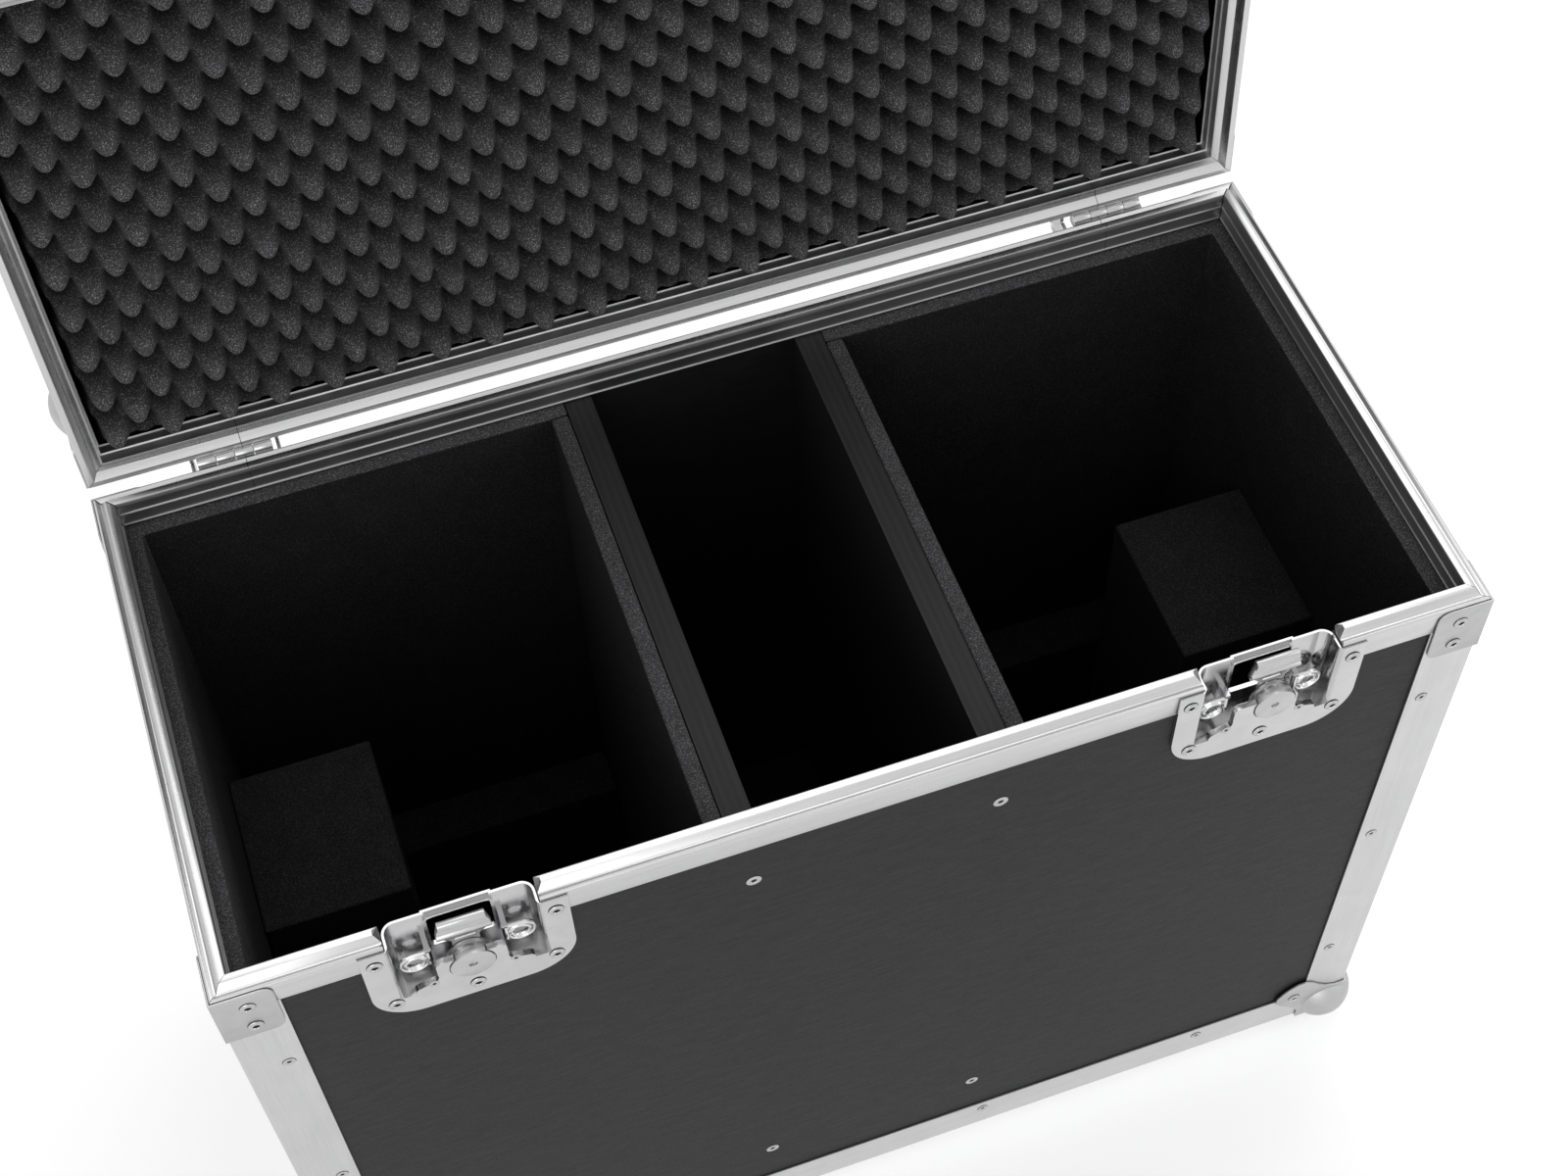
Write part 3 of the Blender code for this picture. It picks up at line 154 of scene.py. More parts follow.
def settle(obj: bpy.types.Object, name: str, crease: float = 35) -> bpy.types.Object:
    """Put a finished piece's place into its mesh, smooth it and name it.

    Args:
        obj: The piece.
        name: Its name, which its mesh gets too.
        crease: Angle in degrees above which an edge stays sharp.

    Returns:
        The piece.
    """
    pick(obj)
    bpy.ops.object.transform_apply(location=True, rotation=True, scale=True)
    bpy.ops.object.shade_smooth_by_angle(angle=math.radians(crease))
    obj.name = name
    obj.data.name = name
    return obj


def apply_modifier(obj: bpy.types.Object, kind: str, **settings: object) -> None:
    """Add a modifier with its settings and apply it.

    Args:
        obj: The mesh object.
        kind: The modifier's type.
        settings: Values for its properties.
    """
    pick(obj)
    modifier = obj.modifiers.new(kind.lower(), kind)
    for key, value in settings.items():
        setattr(modifier, key, value)
    bpy.ops.object.modifier_apply(modifier=modifier.name)


def turned_to(spot: Spot) -> Matrix:
    """Return the matrix that stands a part, modelled upright at the origin, on a spot.

    Args:
        spot: The place, its facing and a twist about it.

    Returns:
        The matrix that places the part.
    """
    turn = spot.facing.to_track_quat("Z", "Y").to_matrix().to_4x4()
    return Matrix.Translation(spot.at) @ turn @ Matrix.Rotation(spot.twist, 4, "Z")


def copies(model: bpy.types.Object, spots: Sequence[Spot], name: str) -> bpy.types.Object:
    """Stand a copy of a part on each spot, each with its own mesh, and join them.

    Args:
        model: The part, upright at the origin.
        spots: Where the copies stand.
        name: Name of the joined piece.

    Returns:
        The joined piece.
    """
    made = []
    for spot in spots:
        pick(model)
        bpy.ops.object.duplicate(linked=False)
        copy = bpy.context.object
        copy.matrix_world = turned_to(spot)
        made.append(copy)
    pick(made[0])
    for copy in made[1:]:
        copy.select_set(True)
    if len(made) > 1:
        bpy.ops.object.join()
    return settle(bpy.context.object, name)


def discard(obj: bpy.types.Object) -> None:
    """Remove a part that was only a pattern for copies."""
    bpy.data.objects.remove(obj, do_unlink=True)


def rounded(corners: Sequence[Point], steps: int = 10) -> Outline:
    """Return an outline whose corners are arcs.

    Args:
        corners: Each corner as its two coordinates and its radius; 0 leaves it sharp.
        steps: Pieces in each arc.

    Returns:
        The points of the outline.
    """
    outline = []
    count = len(corners)
    for index, (a, b, radius) in enumerate(corners):
        corner = Vector((a, b))
        if not radius:
            outline.append((a, b))
            continue
        back = (Vector(corners[index - 1][:2]) - corner).normalized()
        ahead = (Vector(corners[(index + 1) % count][:2]) - corner).normalized()
        half = back.angle(ahead) / 2
        centre = corner + (back + ahead).normalized() * (radius / math.sin(half))
        start = corner + back * (radius / math.tan(half)) - centre
        end = corner + ahead * (radius / math.tan(half)) - centre
        first = math.atan2(start.y, start.x)
        sweep = (math.atan2(end.y, end.x) - first + math.pi) % math.tau - math.pi
        for step in range(steps + 1):
            turn = first + sweep * step / steps
            outline.append((centre.x + radius * math.cos(turn), centre.y + radius * math.sin(turn)))
    return outline


def oblong(low: tuple[float, float], high: tuple[float, float], radius: float = 0.0,
           steps: int = 10) -> Outline:
    """Return the outline of a rectangle, its corners rounded where a radius is given.

    Args:
        low: Its corner with the low coordinates.
        high: Its corner with the high ones.
        radius: Radius of its corners.
        steps: Pieces in each arc.

    Returns:
        The points of the outline.
    """
    return rounded([(*low, radius), (high[0], low[1], radius), (*high, radius),
                    (low[0], high[1], radius)], steps)


def circle(a: float, b: float, radius: float, sides: int = 48) -> Outline:
    """Return the outline of a circle about a point."""
    turns = [math.tau * index / sides for index in range(sides)]
    return [(a + radius * math.cos(turn), b + radius * math.sin(turn)) for turn in turns]


def face_outward(piece: bpy.types.Object) -> None:
    """Turn every face of a closed piece outward.

    Args:
        piece: The piece.
    """
    edit(piece)
    bpy.ops.mesh.select_all(action="SELECT")
    bpy.ops.mesh.normals_make_consistent(inside=False)
    leave()


def extruded(name: str, outline: Outline, axis: str, low: float, high: float) -> bpy.types.Object:
    """Extrude a filled outline along an axis.

    Args:
        name: Name of the piece.
        outline: Points in the other two axes, in the order of x, y and z.
        axis: The axis: x, y or z.
        low: Where it starts.
        high: Where it ends.

    Returns:
        The piece.
    """
    order = {"x": (2, 0, 1), "y": (0, 2, 1), "z": (0, 1, 2)}[axis]
    bpy.ops.object.select_all(action="DESELECT")
    bpy.ops.mesh.primitive_circle_add(vertices=len(outline), fill_type="NGON")
    piece = bpy.context.object
    piece.name = name
    for vertex, (a, b) in zip(piece.data.vertices, outline):
        point = (a, b, low)
        vertex.co = [point[index] for index in order]
    edit(piece)
    bpy.ops.mesh.select_all(action="SELECT")
    step = (0.0, 0.0, high - low)
    bpy.ops.mesh.extrude_region_move(
        TRANSFORM_OT_translate={"value": [step[index] for index in order]})
    leave()
    face_outward(piece)
    return piece


def combine(target: bpy.types.Object, operation: str, *tools: bpy.types.Object) -> bpy.types.Object:
    """Fuse solids to a piece or cut them from it, and drop the tools.

    Args:
        target: The piece.
        operation: UNION or DIFFERENCE.
        tools: The solids.

    Returns:
        The piece.
    """
    for tool in tools:
        apply_modifier(target, "BOOLEAN", object=tool, operation=operation, solver="EXACT")
        discard(tool)
    return target


def make_whole(piece: bpy.types.Object, merge: float = 0.00002, flat: float = 0.5) -> None:
    """Merge the doubled points of a mesh and make each flat face one face.

    Args:
        piece: The piece.
        merge: Distance up to which points become one.
        flat: Angle in degrees up to which faces become one.
    """
    edit(piece, "VERT")
    bpy.ops.mesh.select_all(action="SELECT")
    bpy.ops.mesh.remove_doubles(threshold=merge)
    bpy.ops.mesh.dissolve_limited(angle_limit=math.radians(flat))
    leave()


def soften(piece: bpy.types.Object, width: float, segments: int = 2, angle: float = 32) -> None:
    """Round the sharp edges of a piece, after its flat faces are made whole.

    Args:
        piece: The piece.
        width: Width of the rounding.
        segments: Steps across it.
        angle: Angle in degrees from which an edge is rounded.
    """
    make_whole(piece)
    apply_modifier(piece, "BEVEL", width=width, segments=segments, limit_method="ANGLE",
                   angle_limit=math.radians(angle), use_clamp_overlap=True)


def copied(node: str, name: str) -> bpy.types.Object:
    """Copy the mesh of one of the frame's nodes to a new object.

    Args:
        node: The node.
        name: Name of the object.

    Returns:
        The object.
    """
    piece = bpy.data.objects.new(name, frame["nodes"][node].data.copy())
    bpy.context.scene.collection.objects.link(piece)
    return piece


def stand_in(piece: bpy.types.Object, node: str, body: str) -> None:
    """Let a piece stand for one of the frame's nodes.

    Args:
        piece: The piece.
        node: The node it stands for.
        body: The body that carries it.
    """
    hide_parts(node)
    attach(piece, body)


def signs(corner: str) -> tuple[int, int]:
    """Return the side that a corner lies on in x and in y, -1 or 1, from its name."""
    return -1 if "left" in corner else 1, -1 if "front" in corner else 1


def box_of(node: str) -> tuple[Vector, Vector]:
    """Return the low and the high corner of a node's box."""
    low, high = (Vector(point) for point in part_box(node))
    return low, high


class Nodes:
    """A node tree with short calls to add and join nodes."""

    def __init__(self, tree: bpy.types.NodeTree) -> None:
        """Work on a tree."""
        self.tree = tree

    def add(self, kind: str, **values: object) -> bpy.types.Node:
        """Add a node and set its properties, then its sockets.

        Args:
            kind: The node's type without the words ShaderNode.
            values: Properties of the node, or values of inputs of that name,
                where a socket's spaces are written as underscores.

        Returns:
            The node.
        """
        node = self.tree.nodes.new("ShaderNode" + kind)
        for key, value in values.items():
            if hasattr(node, key):
                setattr(node, key, value)
            else:
                self.join(value, node.inputs[key.replace("_", " ")])
        return node

    def join(self, source: object, socket: bpy.types.NodeSocket) -> None:
        """Give a socket a link or a value.

        Args:
            source: A socket to link from, or the value.
            socket: The socket that gets it.
        """
        if isinstance(source, bpy.types.NodeSocket):
            self.tree.links.new(source, socket)
        else:
            socket.default_value = source

    def math(self, operation: str, first: object, second: object = 0.0) -> bpy.types.NodeSocket:
        """Add a Math node and return its result.

        Args:
            operation: What it does.
            first: First value or socket.
            second: Second value or socket.

        Returns:
            The result's socket.
        """
        node = self.add("Math", operation=operation)
        self.join(first, node.inputs[0])
        self.join(second, node.inputs[1])
        return node.outputs[0]

    def spread(self, value: object, low: float, high: float, out_low: float, out_high: float
               ) -> bpy.types.NodeSocket:
        """Map a value from one range to another, held at its ends.

        Args:
            value: The socket to map.
            low: Where the input range starts.
            high: Where the input range ends.
            out_low: Result at the start.
            out_high: Result at the end.

        Returns:
            The result's socket.
        """
        node = self.add("MapRange")
        for index, item in enumerate((value, low, high, out_low, out_high)):
            self.join(item, node.inputs[index])
        return node.outputs[0]

    def mix(self, kind: str, share: object, first: object, second: object) -> bpy.types.NodeSocket:
        """Mix two values by a share.

        Args:
            kind: FLOAT, VECTOR or RGBA.
            share: Share of the second value.
            first: First value or socket.
            second: Second value or socket.

        Returns:
            The result's socket.
        """
        start, result = {"FLOAT": (2, 0), "VECTOR": (4, 1), "RGBA": (6, 2)}[kind]
        node = self.add("Mix", data_type=kind)
        for index, item in ((0, share), (start, first), (start + 1, second)):
            self.join(item, node.inputs[index])
        return node.outputs[result]

    def blend(self, share: object, first: Sequence[float] | bpy.types.NodeSocket,
              second: Sequence[float]) -> bpy.types.NodeSocket:
        """Mix a colour or a colour's socket with a colour by a share.

        Args:
            share: Share of the second colour.
            first: First colour or socket.
            second: Second colour.

        Returns:
            The result's socket.
        """
        is_socket = isinstance(first, bpy.types.NodeSocket)
        return self.mix("RGBA", share, first if is_socket else (*first, 1.0), (*second, 1.0))

    def noise(self, here: bpy.types.NodeSocket, scale: object, **values: float) -> bpy.types.NodeSocket:
        """Add a Noise texture and return its value."""
        return self.add("TexNoise", Vector=here, Scale=scale, **values).outputs[0]

    def scaled(self, here: bpy.types.NodeSocket, scale: Point) -> bpy.types.NodeSocket:
        """Multiply coordinates by a scale of their own on each axis.

        Args:
            here: The coordinates.
            scale: The scales.

        Returns:
            The result's socket.
        """
        mapping = self.add("Mapping", vector_type="POINT", Vector=here)
        mapping.inputs["Scale"].default_value = scale
        return mapping.outputs[0]


class Surface(Nodes):
    """Nodes of a material, with its shader and its object coordinates in the closed pose."""

    def __init__(self, material: bpy.types.Material, on_lid: bool) -> None:
        """Find the shader and the coordinates.

        Args:
            material: The material.
            on_lid: Whether its pieces stand open with the lid.
        """
        super().__init__(material.node_tree)
        self.shader = material.node_tree.nodes["Principled BSDF"]
        self.here = self.add("TexCoord").outputs["Object"]
        if on_lid:
            mapping = self.add("Mapping", vector_type="POINT", Vector=self.here)
            matrix = CASE.lid_matrix().inverted()
            mapping.inputs["Location"].default_value = matrix.to_translation()
            mapping.inputs["Rotation"].default_value = matrix.to_euler()
            self.here = mapping.outputs[0]

    def feed(self, name: str, source: object) -> None:
        """Give one of the shader's inputs a socket or a value."""
        self.join(source, self.shader.inputs[name])

    def smudged(self, **density: float) -> bpy.types.NodeSocket:
        """Add cloudy marks and return their share."""
        return self.add("Group", node_tree=Effects.smudges(), Vector=self.here, **density).outputs[0]

    def bump(self, height: object, strength: float, distance: float, edge: float = 0.0) -> None:
        """Feed a height to the shader's normal, over softened edges where a radius is given.

        Args:
            height: The height's socket.
            strength: Share of the bump.
            distance: Its depth in metres.
            edge: Radius of the edges in metres.
        """
        node = self.add("Bump", Strength=strength, Distance=distance, Height=height)
        if edge:
            soft = self.add("Bevel", samples=6, Radius=edge)
            self.join(soft.outputs[0], node.inputs["Normal"])
        self.feed("Normal", node.outputs[0])


class Effects:
    """Shader node groups that several finishes share, each built once."""

    made: dict[str, bpy.types.NodeTree] = {}

    @classmethod
    def group(cls, name: str, inputs: dict[str, object], outputs: dict[str, str],
              build: Callable[[Nodes, dict, dict], None]) -> bpy.types.NodeTree:
        """Return a node group, and build it when it is asked for first.

        Args:
            name: The group's name.
            inputs: Default value of each input; a tuple makes a vector.
            outputs: Kind of each output: Float, Vector or Color.
            build: Function that fills the group in.

        Returns:
            The group.
        """
        if name in cls.made:
            return cls.made[name]
        tree = bpy.data.node_groups.new(name, "ShaderNodeTree")
        for key, value in inputs.items():
            kind = "NodeSocketVector" if isinstance(value, tuple) else "NodeSocketFloat"
            socket = tree.interface.new_socket(name=key, in_out="INPUT", socket_type=kind)
            socket.default_value = value
        for key, kind in outputs.items():
            tree.interface.new_socket(name=key, in_out="OUTPUT", socket_type="NodeSocket" + kind)
        nodes = Nodes(tree)
        source = tree.nodes.new("NodeGroupInput").outputs
        target = tree.nodes.new("NodeGroupOutput").inputs
        build(nodes, source, target)
        cls.made[name] = tree
        return tree

    @classmethod
    def drawn_lines(cls) -> bpy.types.NodeTree:
        """Fine lines from pulling metal through a die, and the seams between lengths.

        The lines run along z, or round the case where the input Round is 1.

        Returns:
            The group.
        """
        def build(nodes: Nodes, source: dict, target: dict) -> None:
            """Fill the group in.

            Args:
                nodes: Its nodes.
                source: Sockets of its inputs.
                target: Sockets of its outputs.
            """
            x, y, z = nodes.add("SeparateXYZ", Vector=source["Vector"]).outputs
            from_side = nodes.math("SUBTRACT", source["Half X"], nodes.math("ABSOLUTE", x))
            centred = nodes.math("SUBTRACT", y, source["Middle Y"])
            from_front = nodes.math("SUBTRACT", source["Half Y"], nodes.math("ABSOLUTE", centred))
            on_end = nodes.math("LESS_THAN", from_side, from_front)
            along_x = nodes.add("CombineXYZ", X=y, Y=z, Z=x).outputs[0]
            along_y = nodes.add("CombineXYZ", X=x, Y=z, Z=y).outputs[0]
            turned = nodes.mix("VECTOR", on_end, along_x, along_y)
            along = nodes.mix("VECTOR", source["Round"], source["Vector"], turned)
            drawn = nodes.scaled(along, (1.0, 1.0, 0.012))
            fine = nodes.noise(drawn, source["Density"], Detail=3.0, Roughness=0.6)
            broad = nodes.noise(drawn, 170.0, Detail=1.0)
            both = nodes.math("ADD", nodes.math("MULTIPLY", fine, 0.6),
                              nodes.math("MULTIPLY", broad, 0.4))
            nodes.join(both, target["Lines"])
            nodes.join(broad, target["Bands"])
            off_mitre = nodes.math("ABSOLUTE", nodes.math("SUBTRACT", from_side, from_front))
            from_butt = nodes.math("SUBTRACT", nodes.math("ABSOLUTE", x), source["Butt X"])
            off_butt = nodes.math("ADD", nodes.math("ABSOLUTE", from_butt),
                                  nodes.math("LESS_THAN", centred, 0.0))
            nearest = nodes.math("MINIMUM", off_mitre, off_butt)
            nodes.join(nodes.spread(nearest, 0.00012, 0.00024, 1.0, 0.0), target["Seams"])
            nodes.join(nodes.math("MINIMUM", from_side, from_front), target["Inward"])
        return cls.group("drawn_lines",
                         {"Vector": (0.0, 0.0, 0.0), "Round": 1.0, "Half X": 0.33, "Half Y": 0.15,
                          "Middle Y": 0.0, "Butt X": 9.0, "Density": 2600.0},
                         {"Lines": "Float", "Bands": "Float", "Seams": "Float", "Inward": "Float"},
                         build)

    @classmethod
    def smudges(cls) -> bpy.types.NodeTree:
        """Soft cloudy marks, as handling and polishing leave them.

        Returns:
            The group.
        """
        def build(nodes: Nodes, source: dict, target: dict) -> None:
            """Fill the group in.

            Args:
                nodes: Its nodes.
                source: Sockets of its inputs.
                target: Sockets of its outputs.
            """
            cloud = nodes.noise(source["Vector"], source["Density"], Detail=4.0, Roughness=0.55,
                                Distortion=0.6)
            nodes.join(nodes.spread(cloud, 0.35, 0.68, 0.0, 1.0), target["Marks"])
        return cls.group("smudges", {"Vector": (0.0, 0.0, 0.0), "Density": 38.0},
                         {"Marks": "Float"}, build)

    @classmethod
    def open_cells(cls) -> bpy.types.NodeTree:
        """Cut open-cell foam: a pitted height and pale specks where cell walls catch light.

        Returns:
            The group.
        """
        def build(nodes: Nodes, source: dict, target: dict) -> None:
            """Fill the group in.

            Args:
                nodes: Its nodes.
                source: Sockets of its inputs.
                target: Sockets of its outputs.
            """
            cells = nodes.add("TexVoronoi", Vector=source["Vector"], Scale=source["Density"])
            finer, coarser = (nodes.math("MULTIPLY", source["Density"], times) for times in (1.7, 1.5))
            fine = nodes.noise(source["Vector"], finer, Detail=2.0)
            pits = nodes.math("MULTIPLY", cells.outputs["Distance"], fine)
            specks = nodes.noise(source["Vector"], coarser, Detail=1.0, Roughness=0.8)
            nodes.join(pits, target["Height"])
            nodes.join(nodes.spread(specks, 0.55, 0.70, 0.0, 1.0), target["Specks"])
            nodes.join(fine, target["Grain"])
        return cls.group("open_cells", {"Vector": (0.0, 0.0, 0.0), "Density": 1100.0},
                         {"Height": "Float", "Specks": "Float", "Grain": "Float"}, build)


class Run(Enum):
    """Way that an extrusion runs."""

    ROUND = "round"
    UPRIGHT = "upright"


@dataclass(frozen=True)
class Finish:
    """A surface finish with the values that its shader holds."""

    name: str
    colour: Point
    roughness: float
    metallic: float = 0.0
    on_lid: bool = False

    def make(self) -> bpy.types.Material:
        """Build the material.

        Returns:
            The material.
        """
        material = bpy.data.materials.new(self.name)
        material.use_nodes = True
        on = Surface(material, self.on_lid)
        on.feed("Base Color", (*self.colour, 1.0))
        on.feed("Roughness", self.roughness)
        on.feed("Metallic", self.metallic)
        self.dress(on)
        return material

    def dimmed(self, share: float) -> Point:
        """Return the colour at a share of its brightness."""
        return tuple(channel * share for channel in self.colour)

    def dress(self, on: Surface) -> None:
        """Add the finish's pattern.

        Args:
            on: The material's nodes.
        """


@dataclass(frozen=True)
class Laminate(Finish):
    """Matt dark laminate on plywood, faintly mottled with short level streaks.

    The inner side, further in than the skin, is darker, near black.
    """

    specular: float = 0.20
    skin: float = 0.0078
    blur: float = 0.0005
    inner: float = 0.25
    level: Point = (0.16, 0.16, 1.0)
    streak_density: float = 420.0
    drift_density: float = 9.0
    grain_density: float = 1500.0

    def dress(self, on: Surface) -> None:
        """Add streaks, a slow drift of tone and a fine embossed grain.

        Args:
            on: The material's nodes.
        """
        level = on.scaled(on.here, self.level)
        streaks = on.noise(level, self.streak_density, Detail=3.0, Roughness=0.65)
        drift = on.noise(on.here, self.drift_density, Detail=3.0)
        grain = on.noise(on.here, self.grain_density, Detail=2.0)
        shade = on.math("ADD", on.spread(streaks, 0.3, 0.72, 0.62, 1.32),
                        on.spread(drift, 0.3, 0.7, -0.08, 0.08))
        x, y, _ = on.add("SeparateXYZ", Vector=on.here).outputs
        from_side = on.math("SUBTRACT", CASE.half_x, on.math("ABSOLUTE", x))
        centred = on.math("ABSOLUTE", on.math("SUBTRACT", y, CASE.middle))
        from_front = on.math("SUBTRACT", CASE.half_y, centred)
        inward = on.math("MINIMUM", from_side, from_front)
        # Further in than the skin the colour is darker, near black.
        dim = on.spread(inward, self.skin, self.skin + self.blur, 1.0, self.inner)
        tint = on.add("HueSaturation", Color=(*self.colour, 1.0),
                      Value=on.math("MULTIPLY", shade, dim))
        on.feed("Base Color", tint.outputs[0])
        rough = on.spread(grain, 0.3, 0.7, self.roughness - 0.05, self.roughness + 0.07)
        on.feed("Roughness", rough)
        on.feed("Specular IOR Level", self.specular)
        height = on.math("ADD", grain, on.math("MULTIPLY", streaks, 0.8))
        on.bump(height, strength=0.25, distance=0.00006)


@dataclass(frozen=True)
class Extrusion(Finish):
    """Satin aluminium extrusion with drawing lines along its run."""

    run: Run = Run.ROUND
    edge: float = 0.0005
    butt: float = 9.0
    # wall is painted shade: the share of colour left on the inner wall, further in than wall_inset;
    # wall_satin makes that wall rougher.
    wall: float = 1.0
    wall_inset: float = 0.0098
    wall_blur: float = 0.0003
    wall_satin: float = 0.22

    def dress(self, on: Surface) -> None:
        """Add drawing lines to tone, gloss and height, cloudy marks, and painted shade on the inner
        wall.

        Args:
            on: The material's nodes.
        """
        lines = on.add("Group", node_tree=Effects.drawn_lines(), Vector=on.here,
                       Round=1.0 if self.run is Run.ROUND else 0.0, Half_X=CASE.half_x,
                       Half_Y=CASE.half_y, Middle_Y=CASE.middle, Butt_X=self.butt)
        marks = on.smudged()
        tone = on.math("ADD", on.spread(lines.outputs["Lines"], 0.3, 0.7, 0.86, 1.06),
                       on.math("MULTIPLY", marks, -0.03))
        colour = on.blend(on.spread(tone, 0.84, 1.06, 0.0, 1.0), self.dimmed(0.8), self.colour)
        if self.run is Run.ROUND:
            colour = on.blend(lines.outputs["Seams"], colour, SEAM)
        satin = 0.0
        # Painted shade: the inner wall is darkened to a share of the colour, and made rougher.
        if self.wall < 1.0:
            inside = on.spread(lines.outputs["Inward"], self.wall_inset,
                               self.wall_inset + self.wall_blur, 0.0, 1.0)
            colour = on.blend(inside, colour, self.dimmed(self.wall))
            satin = on.math("MULTIPLY", inside, self.wall_satin)
        on.feed("Base Color", colour)
        rough = on.math("ADD", on.spread(lines.outputs["Bands"], 0.3, 0.7, -0.04, 0.05),
                        on.math("MULTIPLY", marks, 0.05))
        rough = on.math("ADD", rough, satin)
        on.feed("Roughness", on.math("ADD", rough, self.roughness))
        on.bump(lines.outputs["Lines"], strength=0.22, distance=0.00003, edge=self.edge)


@dataclass(frozen=True)
class PressedSteel(Finish):
    """Bright plated sheet with soft pressing marks and rolled edges."""

    edge: float = 0.0
    clouding: float = 0.07
    cloud_density: float = 60.0
    grain: Point = (0.05, 1.0, 1.0)
    grain_density: float = 3200.0

    def dress(self, on: Surface) -> None:
        """Add cloudy gloss, a faint roll grain and softened edges.

        Args:
            on: The material's nodes.
        """
        marks = on.smudged(Density=self.cloud_density)
        rolled = on.noise(on.scaled(on.here, self.grain), self.grain_density, Detail=2.0)
        rough = on.math("ADD", on.spread(marks, 0.0, 1.0, 0.0, self.clouding),
                        on.spread(rolled, 0.3, 0.7, -0.03, 0.03))
        on.feed("Roughness", on.math("ADD", rough, self.roughness))
        on.feed("Base Color", on.blend(marks, self.colour, self.dimmed(0.92)))
        on.bump(rolled, strength=0.16, distance=0.00002, edge=self.edge)


@dataclass(frozen=True)
class Foam(Finish):
    """Charcoal open-cell foam."""

    density: float = 950.0
    depth: float = 0.0005
    speck: float = 3.6
    # A top colour is painted light: faces that look up take it, and the rest keep the darker main
    # colour.
    top: Point | None = None
    # hollow is painted shade: the share of brightness left deep in the hollows between the lid foam's
    # points.
    hollow: float = 1.0
    hollow_shade_start: float = 0.009
    hollow_shade_depth: float = 0.019
    drift_density: float = 60.0
    specular: float = 0.15

    def dress(self, on: Surface) -> None:
        """Add pits, pale specks where cell walls catch light, a slow drift of tone, painted light on
        faces that look up and painted shade in the hollows.

        Args:
            on: The material's nodes.
        """
        cells = on.add("Group", node_tree=Effects.open_cells(), Vector=on.here, Density=self.density)
        drift = on.noise(on.here, self.drift_density, Detail=2.0)
        colour = (*self.colour, 1.0)
        # Painted light: faces that look up are blended to the lighter top colour, as if lit from above.
        if self.top:
            facing = on.add("SeparateXYZ", Vector=on.add("NewGeometry").outputs["Normal"])
            lit_top_share = on.spread(facing.outputs[2], 0.3, 0.8, 0.0, 1.0)
            colour = on.blend(lit_top_share, self.colour, self.top)
        grain = on.spread(cells.outputs["Grain"], 0.34, 0.66, 0.5, 1.2)
        drifting = on.spread(drift, 0.3, 0.7, 0.88, 1.1)
        bright = on.math("MULTIPLY", cells.outputs["Specks"], self.speck)
        value = on.math("MULTIPLY", on.math("ADD", grain, bright), drifting)
        # Painted shade: the foam grows darker from the points up into the hollows.
        if self.hollow < 1.0:
            height = on.add("SeparateXYZ", Vector=on.here).outputs[2]
            tip = CASE.rim + self.hollow_shade_start
            dim = on.spread(height, tip, tip + self.hollow_shade_depth, 1.0, self.hollow)
            value = on.math("MULTIPLY", value, dim)
        shade = on.add("HueSaturation", Color=colour, Value=value)
        on.feed("Base Color", shade.outputs[0])
        on.feed("Specular IOR Level", self.specular)
        on.bump(cells.outputs["Height"], strength=0.9, distance=self.depth)


@dataclass(frozen=True)
class StainedPly(Finish):
    """Dark stained plywood with its layers on the cut edges."""

    layer: float = 0.0021
    face: float = 0.25
    long_way: Point = (1.0, 0.07, 1.0)
    fibre_density: float = 520.0
    specular: float = 0.3

    def dress(self, on: Surface) -> None:
        """Add layers across x on the upper edge, and a long grain on the faces.

        Args:
            on: The material's nodes.
        """
        across = on.add("SeparateXYZ", Vector=on.here).outputs[0]
        facing = on.add("SeparateXYZ", Vector=on.add("NewGeometry").outputs["Normal"])
        on_edge = on.math("GREATER_THAN", on.math("ABSOLUTE", facing.outputs[2]), 0.7)
        wave = on.math("SINE", on.math("MULTIPLY", across, math.pi / self.layer))
        layers = on.spread(wave, -0.3, 0.5, 0.74, 1.06)
        long_way = on.scaled(on.here, self.long_way)
        grain = on.noise(long_way, self.fibre_density, Detail=4.0, Roughness=0.65)
        fibres = on.spread(grain, 0.3, 0.72, 0.75, 1.2)
        shade = on.mix("FLOAT", on_edge, on.math("MULTIPLY", fibres, self.face),
                       on.math("MULTIPLY", layers, fibres))
        tone = on.add("HueSaturation", Color=(*self.colour, 1.0), Value=shade)
        on.feed("Base Color", tone.outputs[0])
        on.feed("Specular IOR Level", self.specular)
        on.bump(grain, strength=0.4, distance=0.0001)


@dataclass(frozen=True)
class SatinPaint(Finish):
    """Satin black paint with a fine orange peel."""

    peel_density: float = 700.0
    clouding: float = 0.12

    def dress(self, on: Surface) -> None:
        """Add the peel and cloudy gloss.

        Args:
            on: The material's nodes.
        """
        peel = on.noise(on.here, self.peel_density, Detail=2.0)
        gloss = on.spread(on.smudged(), 0.0, 1.0, self.roughness, self.roughness + self.clouding)
        on.feed("Roughness", gloss)
        on.bump(peel, strength=0.3, distance=0.0001)


SEAM = (0.03, 0.03, 0.03)
BUTT_X = 0.2475
LAMINATE = (0.0168, 0.0171, 0.0175)
ALUMINIUM = (0.64, 0.64, 0.645)
STEEL = (0.50, 0.50, 0.505)
DISH_STEEL = (0.56, 0.56, 0.565)
WIRE_STEEL = (0.66, 0.66, 0.665)
ZINC = (0.52, 0.52, 0.525)
FOAM = (0.080, 0.080, 0.083)
